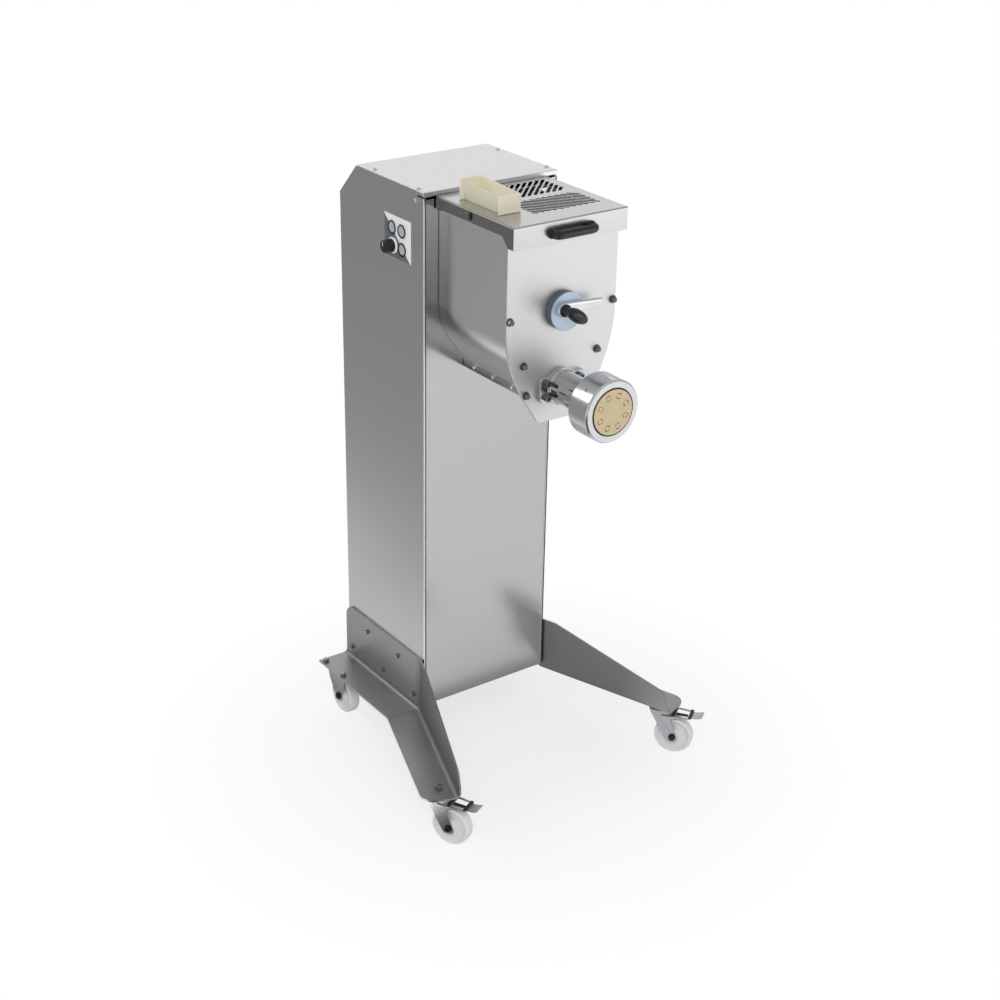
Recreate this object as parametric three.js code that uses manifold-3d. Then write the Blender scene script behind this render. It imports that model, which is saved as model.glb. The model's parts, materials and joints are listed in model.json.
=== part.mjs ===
// An electric pasta maker on a wheeled stand: a sheet-metal column with a geared drive,
// a lidded mixing hopper on its front, and an auger that pushes dough through a bronze die.
// Millimetres. +X is right seen from the front, +Y runs to the rear, +Z is up.
import * as THREE from "three";
import { mergeVertices } from "three/addons/utils/BufferGeometryUtils.js";
import Module from "manifold-3d";

const wasm = await Module();
wasm.setup();

// Fits and cutting
const seat = 0.3;
const overrun = 1;
const weld = 0.001;
const fineSides = 36;
const roundSides = 20;
const smallSides = 10;
const curveSteps = 5;

// Column
const columnWidth = 300;
const columnDepth = 290;
const columnHeight = 1071;
const columnBottom = 125;
const sheet = 2;
const chamferDepth = 63;
const chamferHeight = 65;
const cornerFold = 6;
const coverLip = 9;
const coverOverhang = 1;
const sideNotchDepth = 20;
const sideNotchHeight = 9;
const panelShoulder = 14;
const panelNotchDrop = 31;
const panelNotchHalf = 127;
const basePlateThickness = 6;
const ventRows = 8;
const ventPitch = 16;
const ventHeight = 5;
const ventWidth = 70;
const ventSpread = 96;
const ventStart = 320;

// Shafts, measured up from the column's bottom edge
const mixerRise = 890;
const augerRise = 745;

// Drive train behind the front panel
const bearingPlateBack = 20;
const bearingPlateThickness = 8;
const bearingPlateMargin = 108;
const bushRadius = 24;
const bushFlangeRadius = 31;
const bushFlange = 3;
const bushFront = 9;
const hubRadius = 18;
const hubFront = 7;
const gearFront = 26;
const gearThickness = 20;
const pinionTeeth = 17;
const wheelTeeth = 32;
const pressureAngle = THREE.MathUtils.degToRad(20);
const addendumShare = 0.95;
const dedendumShare = 1.25;
const backlash = 0.5;
const flankSteps = 3;
const tangSize = 14;
const tangLength = 19;
const shaftCollarEnd = 4;
const outputShaftRadius = 14;
const reducerFront = 60;
const reducerDepth = 90;
const reducerHalfWidth = 58;
const reducerTop = 58;
const reducerBottom = 72;
const reducerLugHalf = 76;
const reducerLugThickness = 8;
const reducerLugTop = 66;
const spacerRadius = 7;
const spacerAcross = 67;
const spacerUp = 56;
const spacerDown = 62;
const motorRadius = 65;
const motorLength = 235;
const motorFlangeRadius = 78;
const motorFlange = 10;
const terminalWidth = 70;
const terminalDepth = 34;
const terminalHeight = 80;

// Controls on the left side, measured from the front face and up from the column's bottom
const plateFrontEdge = 40;
const plateRearEdge = 129;
const plateFoot = 926;
const plateHead = 1006;
const plateThickness = 1;
const buttonRadius = 10;
const bezelRadius = 13;
const bezelHeight = 1.2;
const buttonProud = 0.5;
const buttonCap = 6;
const buttonTail = 26;
const startDepth = 101;
const stopDepth = 68;
const upperButtonRise = 983;
const reverseDepth = 67;
const reverseRise = 948;
const selectorDepth = 99;
const selectorRise = 949;
const selectorRadius = 13;
const selectorLength = 20;
const selectorCollarRadius = 15;
const selectorCollar = 3;
const selectorShaftRadius = 4;
const selectorFlutes = 12;
const selectorFluteDepth = 1.2;
const fluteSides = 4;
const switchBoxDepth = 42;
const switchBoxWall = 2;
const switchBoxMargin = 4;

// Hopper
const tubHalfWidth = 117;
const tubWall = 2;
const tubRim = 1046;
const tubArcRise = 857;
const tubSlope = THREE.MathUtils.degToRad(49);
const tubFootHalf = 60;
const tubStripHeight = 25;
const tubFlange = 3;
const tubArcSteps = 7;
const tubRelief = 10;
const tubReliefDrop = 9;
const plateFace = 220.3;
const frontPlateThickness = 3;
const frontPlateHalf = 122;
const frontPlateTop = 1060.7;
const frontPlateBendRise = 866;
const frontPlatePullHalf = 118.5;
const frontPlatePullRise = 797;
const frontPlateHipHalf = 81;
const frontPlateHipRise = 733;
const frontPlateFootHalf = 46;
const frontPlateFootRise = 679;
const frontPlateCorner = 9;
const windowHalf = 105;
const windowBendRise = 862;
const windowHipHalf = 70;
const windowHipRise = 800;
const windowFootHalf = 40;
const troughBossRadius = 30;
const troughShoulder = 747;
const troughValley = 732;
const augerClearance = 1.2;

// Mixing shaft and auger
const mixerRadius = 12;
const mixerJournalRadius = 8;
const paddleCount = 4;
const paddlePitch = 44;
const paddleStart = 38;
const paddleArmRadius = 5;
const paddleReach = 106;
const paddleBladeWidth = 34;
const paddleBladeHeight = 26;
const paddleBladeThickness = 6;
const paddleTwist = THREE.MathUtils.degToRad(28);
const augerRadius = 24;
const augerCoreRadius = 9;
const augerFlightThickness = 4;
const augerTurns = 7;
const augerStepsPerTurn = 10;
const augerCollarFront = 8;
const augerStart = 5;
const augerEnd = 349;

// Extruder barrel, ring nut and die
const barrelRadius = 31;
const barrelFlange = 10;
const barrelFlangeHalf = 50;
const barrelEarHalf = 24;
const barrelFlangeRadius = 36;
const barrelHeadRadius = 52;
const barrelHeadBack = 323;
const barrelFront = 355;
const barrelMouthRadius = 41;
const barrelMouthBack = 338;
const nutRadius = 59;
const nutBack = 321.5;
const nutFront = 374;
const nutChamfer = 3;
const nutLip = 7;
const dieFaceRadius = 43;
const dieSetback = 1.6;
const nutPinRadius = 2.5;
const nutPinDepth = 6;
const nutPinBack = 24;
const nutPins = 4;
const dieSlots = 8;
const dieSlotCircle = 30;
const dieSlotWidth = 1.6;
const dieSlotHalf = 7.5;
const dieSlotWave = 3.2;
const dieRecessRadius = 38;
const dieRecessDepth = 5;

// Shaft cap, lock lever and lock knob
const capRadius = 36;
const capThickness = 16.5;
const capEdge = 1;
const lockAcross = -13;
const lockRise = 897;
const leverThickness = 9;
const leverHub = 13;
const leverTip = 6.5;
const leverLength = 87;
const leverTipSetback = 4;
const lockStemRadius = 4;
const lockStudReach = 4;
const lockNeckRadius = 8;
const lockNeck = 24;
const wingHalfLength = 26.5;
const wingHalfHeight = 14;
const wingHalfDepth = 10;
const wingAngle = THREE.MathUtils.degToRad(33);

// Lid
const lidOverhang = 8;
const lidFront = 240;
const lidBack = 3;
const lidTop = 1063;
const lidFlange = 42;
const skirtRear = 22;
const skirtFront = 40;
const skirtFold = 16;
const skirtSlope = 18;
const hingeForward = 16;
const hingeRise = 1052;
const hingeRodRadius = 4;
const hingeEarRadius = 7.5;
const hingeArmRadius = 8;
const hingeArmLength = 99;
const hingeArmThickness = 4.6;
const grilleLeft = -45;
const grilleRight = 104;
const grilleRearNear = 17;
const grilleRearFar = 95;
const grilleMirror = 103.5;
const grillePitch = 13.9;
const grilleOffset = 94.4;
const slotWidth = 5.6;
const slotEndSteps = 3;
const handleHalf = 43;
const handleReach = 17;
const handleBend = 12;
const handleHalfHeight = 8;
const handleHalfDepth = 6.5;
const handleDrop = 22;
const magnetForward = 112;
const magnetWidth = 5;
const magnetHeight = 13;
const magnetThickness = 2.4;
const sensorForward = 122;
const sensorLength = 22;
const sensorHeight = 14;
const sensorThickness = 4.6;

// Liquid tray on the lid
const trayCentre = -80.5;
const trayBack = 47;
const trayLength = 120;
const trayHeight = 33;
const trayHalfTop = 23;
const trayHalfBottom = 15;
const trayWall = 2.2;
const trayEnd = 3;

// Legs
const legSheet = 4;
const legBottom = 107;
const legTop = 229;
const legRear = 295;
const legBend = 10;
const legSplay = THREE.MathUtils.degToRad(19.65);
const legArm = 318;
const legFlange = 70;
const legRearCorner = 28;
const legTipCorner = 28;
const legArmFlat = 34;
const legArmSlopeEnd = 292;
const legArmSlopeRise = 159;
const legArmTipRise = 115;
const legArmTipRound = 18;

// Castors
const tyreRadius = 40;
const tyreHalf = 12;
const tyreShoulder = 3;
const hubHalf = 14.7;
const wheelHubRadius = 12;
const webHalf = 7;
const rimInner = 31;
const axleRadius = 5;
const forkGapHalf = 15;
const forkSheet = 2.5;
const axleNutRadius = 8;
const axleNut = 5;
const castorTrail = 32;
const leftCastorTurn = THREE.MathUtils.degToRad(-64);
const rightCastorTurn = THREE.MathUtils.degToRad(-54);
const castorTipInset = 39;
const castorAcross = 31;
const forkTop = 100;
const forkPlate = 3;
const forkRear = 20;
const forkFront = 20;
const forkAxleHalf = 11;
const raceRadius = 24;
const raceHeight = 3.5;
const headRadius = 19;
const rivetRadius = 9;
const rivetHeight = 4;
const castorBoltRadius = 5;
const castorNutRadius = 10;
const castorNutHeight = 8;
const brakePivotAlong = 12;
const brakePivotRise = 88;
const brakePinRadius = 2;
const brakeBarHeight = 5.5;
const brakeBarTop = 92;
const brakeBar = 3;
const brakeFrameStart = 36;
const brakeFrameEnd = 69;
const brakeCrossbar = 7;
const brakePadLength = 22;
const brakePadHalf = 13;
const brakePadThickness = 3;
const brakePadLift = THREE.MathUtils.degToRad(6);
const brakeNoseHalf = 17;
const rearCastorAcross = 188;
const rearCastorDepth = 248;
const rearPlateWidth = 66;
const rearPlateLength = 92;
const rearForkHalf = 26;

// Cable gland in the base plate
const glandAcross = 60;
const glandInset = 54;
const glandRadius = 15;
const glandNeckRadius = 12;
const glandBore = 6;
const glandDrop = 20;
const glandNut = 6;

// Sizes that follow from those above
const glandDepth = columnDepth - glandInset;
const castorAlong = legArm - castorTipInset;
const lidHalf = tubHalfWidth + lidOverhang;
const bearingPlateFoot = augerRise - bearingPlateMargin;
const bearingPlateHead = mixerRise + bearingPlateMargin;
const halfColumn = columnWidth / 2;
const columnTop = columnBottom + columnHeight;
const panelTop = columnTop - sheet - seat;
const mixerZ = columnBottom + mixerRise;
const augerZ = columnBottom + augerRise;
const plateBack = plateFace - frontPlateThickness;
const plateFront = -plateFace;
const boreRadius = augerRadius + augerClearance;
const lidZ = columnBottom + lidTop;
const hingeZ = columnBottom + hingeRise;
const nutInner = barrelHeadRadius + seat;
const nutLipBack = nutFront - nutLip;
const leverFront = plateFace + seat + capThickness + seat + leverThickness;

const buttonPlaces = [
  { name: "start_button", depth: startDepth, rise: upperButtonRise },
  { name: "stop_button", depth: stopDepth, rise: upperButtonRise },
  { name: "reverse_button", depth: reverseDepth, rise: reverseRise },
];

// Finishes
const finish = (color, metalness, roughness) =>
  new THREE.MeshStandardMaterial({ color, metalness, roughness });
const brushedSteel = finish(0xb9bab8, 0.9, 0.35);
const polishedSteel = finish(0xd5d8dc, 1.0, 0.15);
const castMetal = finish(0x7d8388, 0.6, 0.6);
const gearSteel = finish(0x9a9ca0, 0.9, 0.4);
const bronze = finish(0xc8a878, 0.5, 0.5);
const blackPlastic = finish(0x151515, 0.0, 0.45);
const whitePlastic = finish(0xf2f3f4, 0.0, 0.3);
const creamPlastic = finish(0xe6dfc0, 0.0, 0.5);
const whiteNylon = finish(0xf0f0ee, 0.0, 0.45);
const paleMetal = finish(0xc3cfdd, 0.7, 0.35);

const machine = new THREE.Group();

// Adds one named piece to a group, by default to the whole machine.
function piece(name, geometry, material, parent = machine) {
  const mesh = new THREE.Mesh(geometry, material);
  mesh.name = name;
  parent.add(mesh);
  return mesh;
}

// Turns a closed geometry into a solid that can be joined and cut.
function solidOf(geometry) {
  const bare = new THREE.BufferGeometry();
  bare.setAttribute("position", geometry.getAttribute("position"));
  if (geometry.index) bare.setIndex(geometry.index);
  const merged = mergeVertices(bare, weld);
  const vertProperties = merged.getAttribute("position").array;
  const triVerts = new Uint32Array(merged.index.array);
  return new wasm.Manifold(new wasm.Mesh({ numProp: 3, vertProperties, triVerts }));
}

// Turns a solid back into a geometry.
function geometryOf(solid) {
  const { vertProperties, triVerts } = solid.getMesh();
  const geometry = new THREE.BufferGeometry();
  geometry.setAttribute("position", new THREE.BufferAttribute(vertProperties, 3));
  geometry.setIndex(new THREE.BufferAttribute(triVerts, 1));
  return geometry;
}

const join = (...parts) => geometryOf(parts.map(solidOf).reduce((a, b) => a.add(b)));
const cut = (body, ...tools) =>
  geometryOf(tools.map(solidOf).reduce((a, b) => a.subtract(b), solidOf(body)));
const overlapOf = (a, b) => geometryOf(solidOf(a).intersect(solidOf(b)));

// A box between two values on each axis.
function block(x0, x1, y0, y1, z0, z1) {
  const box = new THREE.BoxGeometry(x1 - x0, y1 - y0, z1 - z0);
  return box.translate((x0 + x1) / 2, (y0 + y1) / 2, (z0 + z1) / 2);
}

// Rods along each axis, between two values on it, about a centre line.
function rodX(radius, x0, x1, y, z, sides = smallSides) {
  const rod = new THREE.CylinderGeometry(radius, radius, x1 - x0, sides);
  return rod.rotateZ(-Math.PI / 2).translate((x0 + x1) / 2, y, z);
}
function rodY(radius, y0, y1, x, z, sides = smallSides) {
  const rod = new THREE.CylinderGeometry(radius, radius, y1 - y0, sides);
  return rod.translate(x, (y0 + y1) / 2, z);
}
function rodZ(radius, z0, z1, x, y, sides = smallSides) {
  const rod = new THREE.CylinderGeometry(radius, radius, z1 - z0, sides);
  return rod.rotateX(Math.PI / 2).translate(x, y, (z0 + z1) / 2);
}

// Bores along each axis: their flat sides stay outside the true circle.
const around = (radius, sides) => radius / Math.cos(Math.PI / sides);
const boreX = (radius, x0, x1, y, z, sides = smallSides) =>
  rodX(around(radius, sides), x0, x1, y, z, sides);
const boreY = (radius, y0, y1, x, z, sides = smallSides) =>
  rodY(around(radius, sides), y0, y1, x, z, sides);
const boreZ = (radius, z0, z1, x, y, sides = smallSides) =>
  rodZ(around(radius, sides), z0, z1, x, y, sides);

// A closed outline from points given as pairs.
const outline = (points) => new THREE.Shape(points.map(([a, b]) => new THREE.Vector2(a, b)));

// Plates of an outline: (y, z) between two x, (x, z) between two y, (x, y) between two z.
function plateX(shape, x0, x1, curveSegments = curveSteps) {
  const turn = new THREE.Matrix4().makeBasis(
    new THREE.Vector3(0, 1, 0),
    new THREE.Vector3(0, 0, 1),
    new THREE.Vector3(1, 0, 0),
  );
  const settings = { depth: x1 - x0, bevelEnabled: false, curveSegments };
  return new THREE.ExtrudeGeometry(shape, settings).applyMatrix4(turn).translate(x0, 0, 0);
}
function plateY(shape, y0, y1, curveSegments = curveSteps) {
  const settings = { depth: y1 - y0, bevelEnabled: false, curveSegments };
  return new THREE.ExtrudeGeometry(shape, settings).rotateX(Math.PI / 2).translate(0, y1, 0);
}
function plateZ(shape, z0, z1, curveSegments = curveSteps) {
  const settings = { depth: z1 - z0, bevelEnabled: false, curveSegments };
  return new THREE.ExtrudeGeometry(shape, settings).translate(0, 0, z0);
}

// A turned piece about the Y direction, from (radius, y) points with the body on their left.
function turnedY(points, x, z, sides = roundSides) {
  const profile = points.map(([radius, y]) => new THREE.Vector2(radius, y));
  return new THREE.LatheGeometry(profile, sides).translate(x, 0, z);
}
// The same about the Z direction, from (radius, z) points.
function turnedZ(points, x, y, sides = roundSides) {
  const profile = points.map(([radius, z]) => new THREE.Vector2(radius, z));
  return new THREE.LatheGeometry(profile, sides).rotateX(Math.PI / 2).translate(x, y, 0);
}

// Mirrors a list of right-hand points (x, z) to close a symmetrical outline, top to foot.
const symmetrical = (right) => [...right, ...right.map(([x, z]) => [-x, z]).reverse()];

// Column sheets

// Left side sheet with its rear chamfer, front fold, front-top notch and control holes.
function sidePanel(controls) {
  const top = columnTop - chamferHeight;
  const crest = columnDepth - chamferDepth + ((columnTop - panelTop) * chamferDepth) / chamferHeight;
  const shape = outline([
    [0, columnBottom],
    [columnDepth, columnBottom],
    [columnDepth, top],
    [crest, panelTop],
    [sideNotchDepth, panelTop],
    [sideNotchDepth, panelTop - sideNotchHeight],
    [0, panelTop - sideNotchHeight],
  ]);
  const skin = plateX(shape, -halfColumn, -halfColumn + sheet);
  const foldTop = panelTop - sideNotchHeight;
  const fold = block(-halfColumn, -halfColumn + cornerFold, 0, sheet, columnBottom, foldTop);
  const body = join(skin, fold);
  if (!controls) return body;
  const reach = [-halfColumn - overrun, -halfColumn + sheet + overrun];
  const holes = buttonPlaces.map(({ depth, rise }) =>
    boreX(buttonRadius + seat, ...reach, depth, columnBottom + rise, roundSides),
  );
  const stemHole = boreX(
    selectorShaftRadius + seat,
    ...reach,
    selectorDepth,
    columnBottom + selectorRise,
  );
  return cut(body, ...holes, stemHole);
}

// Front sheet between the two folds, notched at its top where the lid's rear passes.
function frontPanel() {
  const half = halfColumn - cornerFold - seat;
  const head = columnTop - panelShoulder;
  const notch = columnTop - panelNotchDrop;
  const shape = outline([
    [-half, columnBottom],
    [half, columnBottom],
    [half, head],
    [panelNotchHalf, head],
    [panelNotchHalf, notch],
    [-panelNotchHalf, notch],
    [-panelNotchHalf, head],
    [-half, head],
  ]);
  const body = plateY(shape, 0, sheet);
  const holes = [mixerZ, augerZ].map((z) =>
    boreY(mixerRadius + seat, -overrun, sheet + overrun, 0, z, roundSides),
  );
  return cut(body, ...holes);
}

// Rear sheet with the sloping top and two columns of vent slots.
function rearCover() {
  const half = halfColumn - sheet - seat;
  const slope = chamferHeight / chamferDepth;
  const drop = sheet * Math.hypot(1, slope);
  const inside = columnDepth - sheet;
  const crest = columnDepth - chamferDepth;
  const shape = outline([
    [columnDepth, columnBottom],
    [columnDepth, columnTop - chamferHeight],
    [crest, columnTop],
    [crest, columnTop - drop],
    [inside, columnTop - drop - (inside - crest) * slope],
    [inside, columnBottom],
  ]);
  const body = plateX(shape, -half, half);
  const slots = [];
  for (let row = 0; row < ventRows; row++) {
    const z = columnBottom + ventStart + row * ventPitch;
    for (const side of [-1, 1]) {
      const x = (side * ventSpread) / 2;
      slots.push(
        block(
          x - ventWidth / 2,
          x + ventWidth / 2,
          inside - overrun,
          columnDepth + overrun,
          z,
          z + ventHeight,
        ),
      );
    }
  }
  return cut(body, ...slots);
}

// Top sheet with its folded front lip.
function topCover() {
  const rear = columnDepth - chamferDepth - seat;
  const lipBack = sheet - coverOverhang;
  const shape = outline([
    [-coverOverhang, columnTop],
    [-coverOverhang, columnTop - coverLip],
    [lipBack, columnTop - coverLip],
    [lipBack, columnTop - sheet],
    [rear, columnTop - sheet],
    [rear, columnTop],
  ]);
  return plateX(shape, -halfColumn, halfColumn);
}

// Floor of the column with the hole for the cable gland.
function basePlate() {
  const half = halfColumn - sheet - seat;
  const body = block(
    -half,
    half,
    sheet + seat,
    columnDepth - sheet - seat,
    columnBottom,
    columnBottom + basePlateThickness,
  );
  const hole = boreZ(
    glandNeckRadius + seat,
    columnBottom - overrun,
    columnBottom + basePlateThickness + overrun,
    glandAcross,
    glandDepth,
  );
  return cut(body, hole);
}

// Gland turned about Z: a domed nut below the plate, a threaded neck and a nut above it.
function cableGland() {
  const floor = columnBottom + basePlateThickness;
  return turnedZ(
    [
      [glandBore, columnBottom - glandDrop],
      [glandRadius - glandNut / 2, columnBottom - glandDrop],
      [glandRadius, columnBottom - glandDrop + glandNut],
      [glandRadius, columnBottom - seat],
      [glandNeckRadius, columnBottom - seat],
      [glandNeckRadius, floor + seat],
      [glandRadius, floor + seat],
      [glandRadius, floor + seat + glandNut],
      [glandBore, floor + seat + glandNut],
      [glandBore, columnBottom - glandDrop],
    ],
    glandAcross,
    glandDepth,
    smallSides,
  );
}

// Controls

// White plate with a raised bezel round each button and a stem hole for the selector.
function controlPlate() {
  const outer = -halfColumn - seat;
  const face = outer - plateThickness;
  const body = block(
    face,
    outer,
    plateFrontEdge,
    plateRearEdge,
    columnBottom + plateFoot,
    columnBottom + plateHead,
  );
  const bezels = buttonPlaces.map(({ depth, rise }) =>
    rodX(bezelRadius, face - bezelHeight, outer, depth, columnBottom + rise, roundSides),
  );
  const reach = [face - bezelHeight - overrun, outer + overrun];
  const holes = buttonPlaces.map(({ depth, rise }) =>
    boreX(buttonRadius + seat, ...reach, depth, columnBottom + rise, roundSides),
  );
  const stemHole = boreX(
    selectorShaftRadius + seat,
    ...reach,
    selectorDepth,
    columnBottom + selectorRise,
  );
  return cut(join(body, ...bezels), ...holes, stemHole);
}

// A round button whose stem reaches the switch behind the panel.
function button({ depth, rise }) {
  const face = -halfColumn - seat - plateThickness - bezelHeight;
  const z = columnBottom + rise;
  const cap = rodX(buttonRadius, face - buttonProud, face + buttonCap, depth, z, roundSides);
  const tail = rodX(buttonRadius / 2, face, face + buttonTail, depth, z);
  return join(cap, tail);
}

// Fluted selector knob on its collar and stem.
function selectorKnob() {
  const face = -halfColumn - seat - plateThickness - seat;
  const z = columnBottom + selectorRise;
  const collarEnd = face - selectorCollar;
  const tip = collarEnd - selectorLength;
  const collar = rodX(selectorCollarRadius, collarEnd, face, selectorDepth, z, roundSides);
  const grip = rodX(selectorRadius, tip, collarEnd + overrun, selectorDepth, z, roundSides);
  const stem = rodX(selectorShaftRadius, collarEnd, -halfColumn + buttonTail, selectorDepth, z);
  const flutes = [];
  for (let i = 0; i < selectorFlutes; i++) {
    const angle = (i / selectorFlutes) * 2 * Math.PI;
    const y = selectorDepth + selectorRadius * Math.cos(angle);
    const flute = rodX(
      selectorFluteDepth,
      tip - overrun,
      collarEnd - selectorFluteDepth,
      y,
      z + selectorRadius * Math.sin(angle),
      fluteSides,
    );
    flutes.push(flute);
  }
  return cut(join(collar, grip, stem), ...flutes);
}

// Open-fronted box behind the control plate.
function switchBox() {
  const front = -halfColumn + sheet + seat;
  const y0 = plateFrontEdge - switchBoxMargin;
  const y1 = plateRearEdge + switchBoxMargin;
  const z0 = columnBottom + plateFoot - switchBoxMargin;
  const z1 = columnBottom + plateHead + switchBoxMargin;
  const wall = switchBoxWall;
  const body = block(front, front + switchBoxDepth, y0, y1, z0, z1);
  const hollow = block(
    front - overrun,
    front + switchBoxDepth - wall,
    y0 + wall,
    y1 - wall,
    z0 + wall,
    z1 - wall,
  );
  return cut(body, hollow);
}

// Drive train

// Upright plate that carries both shaft bushes.
function bearingPlate() {
  const half = halfColumn - sheet - seat;
  const front = bearingPlateBack - bearingPlateThickness;
  const body = block(
    -half,
    half,
    front,
    bearingPlateBack,
    columnBottom + bearingPlateFoot,
    columnBottom + bearingPlateHead,
  );
  const holes = [mixerZ, augerZ].map((z) =>
    boreY(bushRadius + seat, front - overrun, bearingPlateBack + overrun, 0, z, roundSides),
  );
  return cut(body, ...holes);
}

// Flanged bush in the bearing plate, bored for a gear's hub.
function bush(z) {
  const flangeBack = bearingPlateBack + seat + bushFlange;
  return turnedY(
    [
      [hubRadius + seat, bushFront],
      [bushRadius, bushFront],
      [bushRadius, bearingPlateBack + seat],
      [bushFlangeRadius, bearingPlateBack + seat],
      [bushFlangeRadius, flangeBack],
      [hubRadius + seat, flangeBack],
      [hubRadius + seat, bushFront],
    ],
    0,
    z,
  );
}

// Outline of a spur gear whose first tooth, or first gap, points at a start angle.
function gearOutline(teeth, module, z, start) {
  const pitch = (module * teeth) / 2;
  const base = pitch * Math.cos(pressureAngle);
  const tip = pitch + module * addendumShare;
  const root = pitch - module * dedendumShare;
  const involute = (radius) => {
    const angle = Math.acos(Math.min(1, base / radius));
    return Math.tan(angle) - angle;
  };
  const half = Math.PI / (2 * teeth) - backlash / (2 * pitch) + involute(pitch);
  const points = [];
  const add = (radius, angle) => {
    points.push([radius * Math.cos(angle), z + radius * Math.sin(angle)]);
  };
  for (let i = 0; i < teeth; i++) {
    const middle = start + (i / teeth) * 2 * Math.PI;
    const low = Math.max(base, root);
    add(root, middle - half);
    for (let s = 0; s < flankSteps; s++) {
      const radius = low + ((tip - low) * s) / (flankSteps - 1);
      add(radius, middle - half + involute(radius));
    }
    for (let s = flankSteps - 1; s >= 0; s--) {
      const radius = low + ((tip - low) * s) / (flankSteps - 1);
      add(radius, middle + half - involute(radius));
    }
    add(root, middle + half);
  }
  return outline(points);
}

const gearModule = (2 * (mixerRise - augerRise)) / (pinionTeeth + wheelTeeth);

// Gear with a hub that runs in its bush and a square socket for a shaft's tang.
function driveGear(teeth, z, start) {
  const body = plateY(gearOutline(teeth, gearModule, z, start), gearFront, gearFront + gearThickness);
  const hub = rodY(hubRadius, hubFront, gearFront + overrun, 0, z, roundSides);
  const half = tangSize / 2 + seat;
  const depth = shaftCollarEnd + tangLength + seat;
  const socket = block(-half, half, hubFront - overrun, depth, z - half, z + half);
  return cut(join(body, hub), socket);
}

// Worm reducer with its lugs and the spacers that stand it off the bearing plate.
function gearReducer() {
  const back = reducerFront + reducerDepth;
  const housing = block(
    -reducerHalfWidth,
    reducerHalfWidth,
    reducerFront,
    back,
    augerZ - reducerBottom,
    augerZ + reducerTop,
  );
  const lugs = block(
    -reducerLugHalf,
    reducerLugHalf,
    reducerFront,
    reducerFront + reducerLugThickness,
    augerZ - reducerBottom,
    augerZ + reducerLugTop,
  );
  const spacers = [-1, 1].flatMap((side) =>
    [spacerUp, -spacerDown].map((rise) =>
      rodY(
        spacerRadius,
        bearingPlateBack + seat,
        reducerFront + overrun,
        side * spacerAcross,
        augerZ + rise,
      ),
    ),
  );
  const bore = boreY(
    outputShaftRadius + seat,
    reducerFront - overrun,
    back + overrun,
    0,
    augerZ,
    roundSides,
  );
  return cut(join(housing, lugs, ...spacers), bore);
}

// Flanged motor hanging under the reducer, with its terminal box at the rear.
function driveMotor() {
  const y = reducerFront + reducerDepth / 2;
  const top = augerZ - reducerBottom - seat;
  const flange = rodZ(motorFlangeRadius, top - motorFlange, top, 0, y, roundSides);
  const body = rodZ(motorRadius, top - motorLength, top - motorFlange / 2, 0, y, roundSides);
  const boxTop = top - 2 * motorFlange;
  const box = block(
    -terminalWidth / 2,
    terminalWidth / 2,
    y,
    y + motorRadius + terminalDepth,
    boxTop - terminalHeight,
    boxTop,
  );
  return join(flange, body, box);
}

// Auger gear with the hollow-shaft spindle that the reducer turns.
function augerGear() {
  const gear = driveGear(pinionTeeth, augerZ, Math.PI / 2);
  const spindle = rodY(
    outputShaftRadius,
    gearFront + gearThickness - overrun,
    reducerFront + reducerDepth,
    0,
    augerZ,
    roundSides,
  );
  return join(gear, spindle);
}

// Hopper

// One side of the tub in (x, z): straight wall, arc, sloping floor and foot strip.
function tubSide(inset) {
  const radius = tubHalfWidth - inset;
  const turn = Math.PI / 2 - tubSlope;
  const points = [[radius, columnBottom + tubRim]];
  for (let i = 0; i <= tubArcSteps; i++) {
    const angle = (turn * i) / tubArcSteps;
    points.push([
      radius * Math.cos(angle),
      columnBottom + tubArcRise - radius * Math.sin(angle),
    ]);
  }
  const [x, z] = points[points.length - 1];
  const foot = tubFootHalf - inset;
  const footZ = z - (x - foot) * Math.tan(tubSlope);
  points.push([foot, footZ]);
  return points;
}

const tubFootZ = () => tubSide(0)[tubSide(0).length - 1][1];

// Outline of the front plate from its top edge down to the rounded foot.
function frontPlateShape(top) {
  const shape = new THREE.Shape();
  const bend = columnBottom + frontPlateBendRise;
  const pull = columnBottom + frontPlatePullRise;
  const hip = columnBottom + frontPlateHipRise;
  const foot = columnBottom + frontPlateFootRise;
  const rise = (frontPlateHipRise - frontPlateFootRise) / (frontPlateHipHalf - frontPlateFootHalf);
  const length = Math.hypot(1, rise);
  const cornerX = frontPlateCorner / length;
  const cornerZ = (frontPlateCorner * rise) / length;
  shape.moveTo(frontPlateHalf, top);
  shape.lineTo(frontPlateHalf, bend);
  shape.quadraticCurveTo(frontPlatePullHalf, pull, frontPlateHipHalf, hip);
  shape.lineTo(frontPlateFootHalf + cornerX, foot + cornerZ);
  shape.quadraticCurveTo(frontPlateFootHalf, foot, frontPlateFootHalf - frontPlateCorner, foot);
  shape.lineTo(-frontPlateFootHalf + frontPlateCorner, foot);
  shape.quadraticCurveTo(-frontPlateFootHalf, foot, -frontPlateFootHalf - cornerX, foot + cornerZ);
  shape.lineTo(-frontPlateHipHalf, hip);
  shape.quadraticCurveTo(-frontPlatePullHalf, pull, -frontPlateHalf, bend);
  shape.lineTo(-frontPlateHalf, top);
  return shape;
}

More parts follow.
